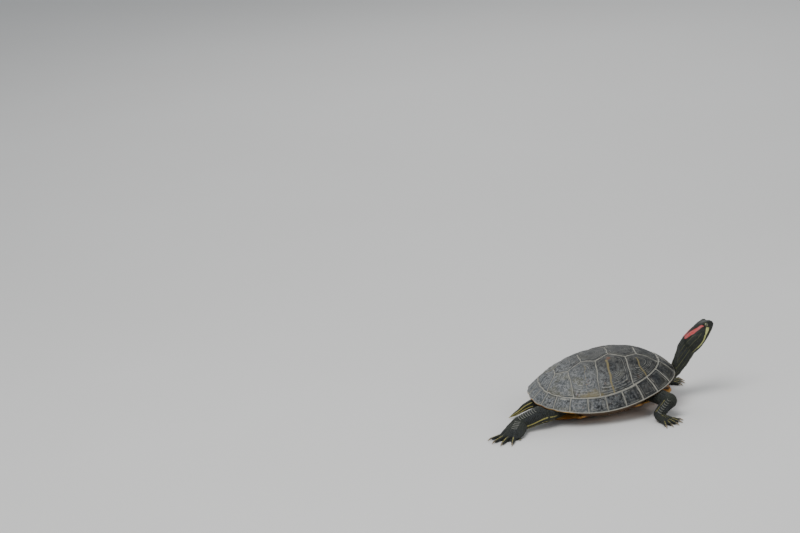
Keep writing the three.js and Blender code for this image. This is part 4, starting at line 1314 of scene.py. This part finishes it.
def skin_finish(name, edges=0.0):
    """Dark scaly skin with pale stripes edged in black, and the red mark behind the eye."""
    paint = Paint(name)
    broad, middling, fine = paint.noise(16, 3), paint.noise(2.4, 5, 0.62), paint.noise(0.45, 3, 0.6)
    head, dull, crown = paint.field("head"), paint.field("dull"), paint.field("crown")
    cells = paint.cells(0.9)
    base = paint.blend(paint.fade(middling, 0.34, 0.7), SKIN_DARK, SKIN_SLATE)
    base = paint.blend(0.75 * paint.fade(broad, 0.42, 0.62), base, SKIN_OLIVE)
    head_base = paint.blend(paint.fade(middling, 0.35, 0.75), SKIN_DARK, SKIN_OLIVE)
    base = paint.blend(head, base, head_base)
    base = paint.blend(0.5 * paint.fade(cells, 0.16, 0.02) * (1 - 0.75 * head), base, STRIPE_DARK)
    wobble = 0.9 * (middling - 0.5) + 0.35 * (fine - 0.5)
    pale_edge, red_edge = paint.field("pale") + wobble, paint.field("red") + wobble
    color = paint.blend(0.85 * paint.fade(pale_edge, 0.8, 0.3), base, STRIPE_DARK)
    stripe = paint.blend(head, STRIPE_YELLOW, STRIPE_LIME)
    stripe = paint.blend(dull, stripe, STRIPE_DULL)
    stripe = paint.blend(0.45 * paint.fade(broad, 0.4, 0.7), stripe, STRIPE_DULL)
    color = paint.blend(0.92 * paint.fade(pale_edge, 0.12, -0.25), color, stripe)
    color = paint.blend(0.8 * paint.fade(red_edge, 0.9, 0.3), color, STRIPE_DARK)
    red = paint.blend(paint.fade(middling, 0.36, 0.64), EAR_RED, EAR_ROSE)
    red = paint.blend(0.75 * paint.fade(fine + 0.4 * (middling - 0.5), 0.6, 0.74), red, STRIPE_DARK)
    color = paint.blend(0.96 * paint.fade(red_edge, 0.25, -0.25), color, red)
    if edges:
        color = paint.blend(edges * paint.fade(crown + 0.25 * (middling - 0.5), 0.62, 0.3), color, SCALE_EDGE)
    roughness = 0.5 + 0.2 * middling - 0.1 * head
    scaly = paint.bump(paint.fade(cells, 0.0, 0.2) * (1 - 0.8 * head), 0.1)
    relief = paint.bump(fine, 0.05, under=scaly)
    return paint.surface(color, roughness, relief, Specular_IOR_Level=0.27)


skin = skin_finish("skin")
flesh_nodes = ["trunk", "head", "lower_jaw", "neck", "tail"]
flesh_nodes += [f"{part}_{name}" for name in LEGS for part in ("upper_leg", "lower_leg", "foot")]
add_fields(thinned, {**skin_marks(skin_points), "crown": np.ones(len(skin_points))})
thinned.polygons.foreach_set("use_smooth", [True] * len(thinned.polygons))
thinned.materials.clear()
thinned.materials.append(skin)
thinned.update()
body_skin = bpy.data.objects.new("skin_piece", thinned)
bpy.context.scene.collection.objects.link(body_skin)
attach(body_skin, "root")
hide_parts(*flesh_nodes)

# ---- The scales ----
# Horny scales over the skin, each a low dome whose free edge points down the limb: coarse on the legs, in
# large pale-edged plates down the forearm and over the shin, and smallest on the toes, neck and cheeks.
SCALE_SIDES = 8
TILE = 0.0155  # between the tubes' tiles in the bake map, one row each
PATCH = 0.003  # of a scale in the bake map
LOOK_FROM, LOOK_DEPTH = 9, 14  # how far off a tube the skin is looked for from, and how deep
CLEARANCE = 0.42  # two scales' roots are apart by this share of their widths
ROOTS_AT_ONCE = 500
SCALE_UNEVENNESS = 0.06

scale_mesh = bpy.data.meshes.new("one_scale")
turn = np.arange(SCALE_SIDES) / SCALE_SIDES * 2 * math.pi
ring = np.stack([0.5 * np.cos(turn), 0.5 * np.sin(turn), 0 * turn], -1)
scale_points = np.concatenate([ring, 0.8 * ring + [0.02, 0, 0], [[0.05, 0, 0]]])
scale_heights = np.concatenate([np.full(SCALE_SIDES, -0.5), 0.66 + 0.24 * np.cos(turn), [1.0]])
scale_faces = ring_faces(0, SCALE_SIDES, SCALE_SIDES)
scale_top = 2 * SCALE_SIDES
scale_faces += [(SCALE_SIDES + j, SCALE_SIDES + (j + 1) % SCALE_SIDES, scale_top) for j in range(SCALE_SIDES)]
scale_faces += [tuple(range(SCALE_SIDES))[::-1]]
scale_mesh.from_pydata((scale_points + scale_heights[:, None] * [0, 0, 0.1]).tolist(), [], scale_faces)
# The crown is low, and so pale, at the free edge.
scale_crown = np.concatenate([0.3 - 0.3 * np.cos(turn), 0.5 - 0.35 * np.cos(turn), [1]])
add_fields(scale_mesh, {"height": scale_heights, "crown": scale_crown})
local_place = scale_mesh.attributes.new("local_place", "FLOAT_VECTOR", "POINT")
local_place.data.foreach_set("vector", (scale_points * [1, 1, 0]).astype(np.float32).ravel())
one_scale = bpy.data.objects.new("one_scale", scale_mesh)
bpy.context.scene.collection.objects.link(one_scale)

skin_faces = [tuple(face.vertices) for face in thinned.polygons]
skin_tree = BVHTree.FromPolygons(skin_points.tolist(), skin_faces)


def scatter_tree():
    """Scales on points: turned to each point's normal and lie, sized, realized, mapped and given a finish."""
    tree = bpy.data.node_groups.new("scatter_scales", "GeometryNodeTree")
    for label, kind, way in (
        ("Geometry", "NodeSocketGeometry", "INPUT"),
        ("Scale", "NodeSocketObject", "INPUT"),
        ("Unevenness", "NodeSocketFloat", "INPUT"),
        ("Seed", "NodeSocketInt", "INPUT"),
        ("Finish", "NodeSocketMaterial", "INPUT"),
        ("Geometry", "NodeSocketGeometry", "OUTPUT"),
    ):
        tree.interface.new_socket(label, in_out=way, socket_type=kind)

    def node(kind, settings=None, links=None, values=None):
        made = tree.nodes.new(kind)
        for key, value in (settings or {}).items():
            setattr(made, key, value)
        for key, value in (values or {}).items():
            made.inputs[key].default_value = value
        for key, value in (links or {}).items():
            tree.links.new(value, made.inputs[key])
        return made

    given = node("NodeGroupInput").outputs

    def named(name):
        made = node("GeometryNodeInputNamedAttribute", {"data_type": "FLOAT_VECTOR"}, values={"Name": name})
        return made.outputs["Attribute"]

    upright = node("FunctionNodeAlignRotationToVector", {"axis": "Z"}, {"Vector": named("facing")}).outputs[0]
    lying = node("FunctionNodeAlignRotationToVector", {"axis": "X", "pivot_axis": "Z"},
                 {"Rotation": upright, "Vector": named("lie")}).outputs[0]
    spread = node("ShaderNodeMath", {"operation": "SUBTRACT"}, {1: given["Unevenness"]}, {0: 1.0}).outputs[0]
    most = node("ShaderNodeMath", {"operation": "ADD"}, {1: given["Unevenness"]}, {0: 1.0}).outputs[0]
    uneven = node("FunctionNodeRandomValue", {"data_type": "FLOAT"}, {"Seed": given["Seed"]})
    tree.links.new(spread, uneven.inputs[2])
    tree.links.new(most, uneven.inputs[3])
    grown = {0: named("size"), "Scale": uneven.outputs[1]}
    size = node("ShaderNodeVectorMath", {"operation": "SCALE"}, grown)
    part = node("GeometryNodeObjectInfo", links={"Object": given["Scale"]})
    placed = node("GeometryNodeInstanceOnPoints", None, {
        "Points": given["Geometry"],
        "Instance": part.outputs["Geometry"],
        "Rotation": lying,
        "Scale": size.outputs[0],
    })
    real = node("GeometryNodeRealizeInstances", None, {"Geometry": placed.outputs[0]})
    patch = node("ShaderNodeVectorMath", {"operation": "SCALE"}, {0: named("local_place")}, {"Scale": PATCH})
    place = node("ShaderNodeVectorMath", {"operation": "ADD"}, {0: named("root_uv"), 1: patch.outputs[0]})
    mapped = node("GeometryNodeStoreNamedAttribute", {"data_type": "FLOAT2", "domain": "CORNER"},
                  {"Geometry": real.outputs[0], "Value": place.outputs[0]}, {"Name": "OFBake"})
    dressed = {"Geometry": mapped.outputs[0], "Material": given["Finish"]}
    finished = node("GeometryNodeSetMaterial", None, dressed)
    node("NodeGroupOutput", None, {"Geometry": finished.outputs[0]})
    return tree


scatter = scatter_tree()
taken = [np.zeros((1, 3)) - 999, np.ones(1)]  # the scales placed so far, and how wide they are


def roots_on(
    tube, tile, count, start=0.0, end=1.0, pitch=0.9, size=1.0, rise=0.3, facing=None, wide=None, inset=7.0,
    keep=None,
):
    """Rows of scales round a tube, or one row where it faces a way, found by looking in at the skin."""
    found = []
    along, row = start * tube.run[-1], 0
    while along < end * tube.run[-1]:
        middle = np.array([np.interp(along, tube.run, tube.middle[:, k]) for k in range(3)])
        k = int(np.searchsorted(tube.run, along).clip(0, len(tube.run) - 1))
        up, across, tangent = tube.up[k], tube.across[k], tube.tangent[k]
        radius_wide, radius_deep = tube.wide[k], tube.deep[k]
        if facing is None:
            step = math.pi * (radius_wide + radius_deep) / count
            angles = (np.arange(count) + 0.5 * (row % 2)) / count * 2 * math.pi
        else:
            step = pitch
            angles = np.array([math.atan2(facing @ across, facing @ up)])
        for angle in angles:
            out = across * radius_wide * math.sin(angle) + up * radius_deep * math.cos(angle)
            distance = np.linalg.norm(out)
            out /= distance
            eye = middle + out * (distance + LOOK_FROM)
            hit, normal, _, _ = skin_tree.ray_cast(Vector(eye), Vector(-out), LOOK_DEPTH)
            if hit is None:
                continue
            found.append((*hit, *normal, *tangent, step * size, wide or step * size, rise,
                          tile * TILE + along / 6000, (angle % (2 * math.pi)) / (2 * math.pi) * 0.95 + 0.02))
        along += step * pitch if facing is None else step
        row += 1
    found = np.array(found).reshape(-1, 14)
    spots = found[:, :3]
    good = depth_in_shell(spots) < inset
    good |= (in_shell_frame(spots)[:, 2] < 2)
    good &= spots[:, 2] > 0.5
    if keep is not None:
        good &= keep(spots)
    found[:, 11] *= 1 - 0.62 * smooth(-8, 12, head_local(spots)[:, 0])
    found = found[good]
    others, breadths = taken
    near = np.zeros(len(found), bool)
    for first in range(0, len(found), ROOTS_AT_ONCE):
        part = found[first : first + ROOTS_AT_ONCE]
        gaps = np.linalg.norm(part[:, None, :3] - others[None], axis=-1)
        widths = np.minimum(part[:, 9], part[:, 10])[:, None] + breadths[None]
        near[first : first + ROOTS_AT_ONCE] = (gaps < CLEARANCE * widths).any(1)
    return found[~near]


def settle(found):
    """Marks these scales as placed, so that the next ones keep clear of them, all along a wide one."""
    global taken
    across = np.cross(found[:, 3:6], found[:, 6:9])
    breadth = np.minimum(found[:, 9], found[:, 10])
    reach = np.maximum(0, found[:, 10] - breadth) / 2
    spots = [found[:, :3] + across * (share * reach)[:, None] for share in (-1, -0.5, 0, 0.5, 1)]
    taken = [np.concatenate([taken[0], *spots]), np.concatenate([taken[1], *[breadth] * 5])]
    return found


ROOT_FIELDS = ("facing", "lie", "size", "root_uv", "local_place", "height", "rise")


def scale_piece(name, groups, finish, seed):
    """One piece of scales from their roots, laid down on the skin after they are made."""
    roots = np.concatenate(groups)
    cloud = bpy.data.meshes.new(name)
    cloud.from_pydata((roots[:, :3] * MM).tolist(), [], [])
    for label, values in (("facing", roots[:, 3:6]), ("lie", roots[:, 6:9]),
                          ("size", np.stack([roots[:, 9], roots[:, 10], roots[:, 9]], -1) * MM),
                          ("root_uv", np.stack([roots[:, 12], roots[:, 13], 0 * roots[:, 0]], -1))):
        attribute = cloud.attributes.new(label, "FLOAT_VECTOR", "POINT")
        attribute.data.foreach_set("vector", values.astype(np.float32).ravel())
    add_fields(cloud, {"rise": roots[:, 11]})
    carrier = bpy.data.objects.new(name + "_roots", cloud)
    bpy.context.scene.collection.objects.link(carrier)
    modifier = carrier.modifiers.new("scatter", "NODES")
    modifier.node_group = scatter
    sockets = {item.name: item.identifier for item in scatter.interface.items_tree if item.in_out == "INPUT"}
    modifier[sockets["Scale"]] = one_scale
    modifier[sockets["Unevenness"]] = SCALE_UNEVENNESS
    modifier[sockets["Seed"]] = seed
    modifier[sockets["Finish"]] = finish
    mesh = bpy.data.meshes.new_from_object(carrier.evaluated_get(bpy.context.evaluated_depsgraph_get()))
    bpy.data.objects.remove(carrier)
    places = mesh_points(mesh)
    heights, rises = (np.empty(len(places), np.float32) for _ in range(2))
    mesh.attributes["height"].data.foreach_get("value", heights)
    mesh.attributes["rise"].data.foreach_get("value", rises)
    laid = []
    for place, height in zip(places, heights * rises):
        spot, normal, _, _ = skin_tree.find_nearest(Vector(place), 4)
        laid.append(Vector(place) if spot is None else spot + normal * float(height))
    laid = np.array(laid)
    laid[:, 2] = np.maximum(laid[:, 2], 0.05)
    mesh.vertices.foreach_set("co", (laid * MM).astype(np.float32).ravel())
    for label in [a.name for a in mesh.attributes if a.name in ROOT_FIELDS]:
        mesh.attributes.remove(mesh.attributes[label])
    add_fields(mesh, skin_marks(laid))
    mesh.polygons.foreach_set("use_smooth", [True] * len(mesh.polygons))
    mesh.update()
    piece = bpy.data.objects.new(name, mesh)
    bpy.context.scene.collection.objects.link(piece)
    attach(piece, "root")


plate_finish = skin_finish("large_scales", 0.75)
scale_finish = skin_finish("scales", 0.16)
plates, toes, limbs = [], [], []
tile = 1
for name, leg in legs.items():
    end, side = name.split("_")[0], SIDES[name.split("_")[1]]
    if end == "front":
        direction = np.array([-0.4, side, 0.4])
        rows = [(leg["lower"], 0.1, 1.0, {"pitch": 2.9, "wide": 6.4, "rise": 0.5})]
    else:
        direction = np.array([-0.1, 0.35 * side, 1.0])
        rows = [
            (leg["lower"], 0.3, 1.0, {"pitch": 2.8, "wide": 10.0, "rise": 0.5}),
            (leg["palm"], 0.08, 0.6, {"pitch": 2.8, "wide": 9.0, "rise": 0.42}),
        ]
    for tube, row_start, row_end, row in rows:
        plates.append(settle(roots_on(tube, tile, 1, row_start, row_end, facing=direction, size=1.3, **row)))
    for part in ("palm", "lower", "upper"):
        count = {"front": 21, "hind": 28}[end]
        limbs.append(settle(roots_on(leg[part], tile, count, 0.0, 1.0)))
        tile += 1
    for first, second in ((leg["upper"], leg["lower"]), (leg["lower"], leg["palm"])):
        bend = Tube(
            [first.middle[-16], second.middle[0], second.middle[15]],
            np.array([first.wide[-16], second.wide[0], second.wide[15]]) + COAT,
            np.array([first.deep[-16], second.deep[0], second.deep[15]]) + COAT,
            hint=first.up[-1],
        )
        limbs.append(settle(roots_on(bend, tile, count, 0.0, 1.0)))
        tile += 1
    for toe in leg["toes"]:
        toes.append(settle(roots_on(toe, tile, 9, 0.12, 1.0, rise=0.2, pitch=1.0)))
        tile += 1
scale_piece("large_scales", plates, plate_finish, 1)
scale_piece("leg_scales", limbs, scale_finish, 2)
scale_piece("toe_scales", toes, scale_finish, 3)
scale_piece("tail_scales", [settle(roots_on(tail, tile, 18, 0.15, 0.97, rise=0.22))], scale_finish, 4)


def behind_head(spots):
    return head_local(spots)[:, 0] < 2


neck_roots = roots_on(neck, tile + 1, 54, 0.3, 0.95, rise=0.15, inset=5, keep=behind_head)
scale_piece("neck_scales", [settle(neck_roots)], scale_finish, 5)


def on_cheek(spots):
    """Where the face is scaly: behind and below the eye, clear of the lids, mouth and smooth crown."""
    local = head_local(spots)
    eye_gap = np.linalg.norm(local * [1, 0, 1] - EYE_PLACE * [1, 0, 1], axis=1)
    mouth = np.interp(local[:, 0], [22, 38.5], [-4.4, -2.4])
    off_mouth = (np.abs(local[:, 2] - mouth) > 1.5) | (local[:, 0] < 21)
    return (local[:, 0] > 2) & (local[:, 2] < 7.5) & (eye_gap > 5.2) & off_mouth


head_x = np.array([2, 8, 14, 20, 26, 31, 35])
head_wide, head_top, head_bottom = head_size(head_x)
middle_line = head_world(np.stack([head_x, 0 * head_x, (head_top + head_bottom) / 2], -1))
head_tube = Tube(middle_line, head_wide, (head_top - head_bottom) / 2, hint=(-0.68, 0, 0.73))
cheek_roots = roots_on(head_tube, tile + 2, 62, 0, 1, rise=0.15, keep=on_cheek)
scale_piece("face_scales", [settle(cheek_roots)], scale_finish, 6)
bpy.data.objects.remove(one_scale)

# ---- The eyes ----
# Wet balls set into their lids: a round pupil, an olive iris crossed by a dark bar level with the mouth, and
# a clear cornea that bulges a little over both.
EYE_STEPS = 40
CORNEA_BULGE = 0.14
IRIS_DARK, IRIS_LIGHT = (0.05, 0.055, 0.01), (0.17, 0.16, 0.035)
IRIS_BAR, EYE_WHITE, PUPIL = (0.012, 0.012, 0.01), (0.014, 0.015, 0.012), (0.002, 0.002, 0.002)
paint = Paint("wet_eye")
off_gaze, level = paint.field("off_gaze"), paint.field("level")
flecks = paint.noise(0.35, 4, 0.7)
iris_color = paint.blend(paint.fade(flecks, 0.35, 0.65), IRIS_DARK, IRIS_LIGHT)
bar_edge = level + 0.12 * (flecks - 0.5)
iris_color = paint.blend(0.85 * paint.fade(bar_edge, 0.2, 0.12), iris_color, IRIS_BAR)
iris_color = paint.blend(paint.fade(off_gaze, 0.66, 0.74), iris_color, EYE_WHITE)
iris_color = paint.blend(paint.fade(off_gaze, 0.31, 0.27), iris_color, PUPIL)
eye_relief = paint.bump(flecks, 0.01)
iris = paint.surface(iris_color, 0.06 + 0.03 * flecks, eye_relief, Coat_Weight=0.8, Coat_Roughness=0.03)

for (name, side), centre in zip(SIDES.items(), eye_centres):
    gaze = head_world(GAZE * [1, side, 1]) - NAPE
    forth = head_world(np.array([1.0, 0, 0])) - NAPE
    forth -= gaze * (forth @ gaze)
    forth /= np.linalg.norm(forth)
    over = np.cross(gaze, forth)
    tilt = np.linspace(0, math.pi, EYE_STEPS)[1:-1]
    turn = np.linspace(0, 2 * math.pi, EYE_STEPS, endpoint=False)
    radius = EYE_RADIUS + CORNEA_BULGE * smooth(0.8, 0.4, tilt)
    tilts, turns = np.meshgrid(tilt, turn, indexing="ij")
    out = np.sin(tilts)[..., None] * (np.cos(turns)[..., None] * forth + np.sin(turns)[..., None] * over)
    shell_points = centre + radius[:, None, None] * (out + np.cos(tilts)[..., None] * gaze)
    front, back = centre + radius[0] * gaze, centre - EYE_RADIUS * gaze
    points = np.concatenate([shell_points.reshape(-1, 3), [front, back]])
    faces = []
    for k in range(len(tilt) - 1):
        faces += ring_faces(k * EYE_STEPS, (k + 1) * EYE_STEPS, EYE_STEPS)
    last = (len(tilt) - 1) * EYE_STEPS
    faces += [((j + 1) % EYE_STEPS, j, len(points) - 2) for j in range(EYE_STEPS)]
    faces += [(last + j, last + (j + 1) % EYE_STEPS, len(points) - 1) for j in range(EYE_STEPS)]
    height = np.abs((points - centre) @ over) / EYE_RADIUS
    fields = {"off_gaze": np.concatenate([tilts.ravel(), [0, math.pi]]), "level": height}
    new_piece(f"eye_{name}", points, turned_out(points, faces), fields, iris, [f"eye_{name}"])

# ---- The claws ----
# Curved horn, one at the end of each toe: five on a front foot and four on a hind one, whose outer toe has
# none. Each is dark at the root and paler and clearer at the tip.
CLAW_STEPS = 12
CLAW_SIDES = 12
CLAW_ROOT_RADIUS, CLAW_TIP_RADIUS = 1.45, 0.1
CLAW_WIDE, CLAW_DEEP = 0.85, 1.1  # shares of the radius
CLAW_DARK, CLAW_PALE = (0.03, 0.028, 0.02), (0.2, 0.155, 0.09)
paint = Paint("claw_horn")
tip_share = paint.field("tip")
streaks = paint.noise(0.8, 4, 0.6)
claw_color = paint.blend(paint.fade(tip_share + 0.3 * (streaks - 0.5), 0.15, 0.8), CLAW_DARK, CLAW_PALE)
claw_horn = paint.surface(claw_color, 0.3 + 0.2 * streaks, paint.bump(streaks, 0.05), Specular_IOR_Level=0.5)

for name, leg in legs.items():
    points, faces, tips = [], [], []
    for root, heading, length in leg["claws"]:
        ahead = np.array([math.cos(heading), math.sin(heading), 0])
        beside = np.array([-ahead[1], ahead[0], 0])
        first = len(points)
        for k in range(CLAW_STEPS):
            share = k / (CLAW_STEPS - 1)
            thick = CLAW_ROOT_RADIUS * (1 - share) ** 0.7 + CLAW_TIP_RADIUS
            rise = 0.9 * math.sin(math.pi * min(1, share * 1.15)) - 1.15 * share**2
            middle = root + ahead * (length + 0.6) * (share - 0.12) + UP * rise
            wide, deep = thick * CLAW_WIDE, thick * CLAW_DEEP
            middle[2] = max(middle[2], deep + 0.08)
            for j in range(CLAW_SIDES):
                turn = 2 * math.pi * j / CLAW_SIDES
                points.append(middle + beside * wide * math.cos(turn) + UP * deep * math.sin(turn))
                tips.append(share)
        for k in range(CLAW_STEPS - 1):
            faces += ring_faces(first + k * CLAW_SIDES, first + (k + 1) * CLAW_SIDES, CLAW_SIDES)
        last = first + (CLAW_STEPS - 1) * CLAW_SIDES
        faces += [tuple(reversed(range(first, first + CLAW_SIDES))), tuple(range(last, last + CLAW_SIDES))]
    points = np.array(points)
    faces = turned_out(points, faces)
    new_piece(f"claws_{name}", points, faces, {"tip": tips}, claw_horn)

# ---- The floor, the light and the camera ----
# A pale floor in soft light from overhead. The camera stands to the turtle's right, a little behind and
# above it.
CAMERA_RIGHT = Vector((0.98231, -0.17279, -0.07216))
CAMERA_UP = Vector((0.12484, 0.31710, 0.94014))
CAMERA_BACK = Vector((-0.13957, -0.93252, 0.33306))
IMAGE = (800, 533)
PIXELS_PER_METRE = 866.8
ORIGIN_AT = (546.28, 413.39)  # where the model's origin falls in the image
CAMERA_DISTANCE = 4.0
SENSOR = 36.0
FLOOR_REACH = 6.0
FLOOR_GREYS = (0.62, 0.61, 0.59), (0.66, 0.655, 0.64)
SKY_COLOR, SKY_STRENGTH = (0.86, 0.9, 0.95, 1), 0.5
LAMPS_AIM = (0.06, 0, 0.04)

floor_mesh = bpy.data.meshes.new("floor")
corners = [(x * FLOOR_REACH, y * FLOOR_REACH, 0) for x, y in ((-1, -1), (1, -1), (1, 1), (-1, 1))]
floor_mesh.from_pydata(corners, [], [(0, 1, 2, 3)])
floor = bpy.data.objects.new("floor", floor_mesh)
bpy.context.scene.collection.objects.link(floor)
paint = Paint("pale_floor")
cloud = paint.noise(400, 2)
floor_color = paint.blend(cloud, *FLOOR_GREYS)
floor_mesh.materials.append(paint.surface(floor_color, 0.75 + 0.05 * cloud, paint.bump(cloud, 0.01)))

world = bpy.data.worlds.new("studio")
world.use_nodes = True
sky = world.node_tree.nodes["Background"].inputs
sky["Color"].default_value = SKY_COLOR
sky["Strength"].default_value = SKY_STRENGTH
bpy.context.scene.world = world


def soft_light(name, place, size, power):
    light = bpy.data.lights.new(name, "AREA")
    light.size = size
    light.energy = power
    lamp = bpy.data.objects.new(name, light)
    lamp.location = place
    lamp.rotation_euler = (Vector(LAMPS_AIM) - Vector(place)).to_track_quat("-Z", "Y").to_euler()
    bpy.context.scene.collection.objects.link(lamp)


soft_light("overhead", (-0.5, -0.6, 1.8), 1.2, 32)
soft_light("front", (1.4, -1.1, 1.0), 1.1, 10)
soft_light("far_side", (0.2, 1.7, 1.2), 1.2, 9)

low, high = cad_box
centre = (low + high) / 2
offset_x = ORIGIN_AT[0] + PIXELS_PER_METRE * CAMERA_RIGHT.dot(centre) - IMAGE[0] / 2
offset_y = ORIGIN_AT[1] - PIXELS_PER_METRE * CAMERA_UP.dot(centre) - IMAGE[1] / 2
focal = PIXELS_PER_METRE * CAMERA_DISTANCE
swing = Vector((offset_x, -offset_y, -focal)).rotation_difference(Vector((0, 0, -1))).to_matrix()
facing = Matrix((CAMERA_RIGHT, CAMERA_UP, CAMERA_BACK)).transposed() @ swing
camera_data = bpy.data.cameras.new("camera")
camera_data.sensor_width = SENSOR
camera_data.lens = focal / IMAGE[0] * SENSOR
camera = bpy.data.objects.new("camera", camera_data)
camera.matrix_world = Matrix.Translation(centre + CAMERA_BACK * CAMERA_DISTANCE) @ facing.to_4x4()
bpy.context.scene.collection.objects.link(camera)
bpy.context.scene.camera = camera
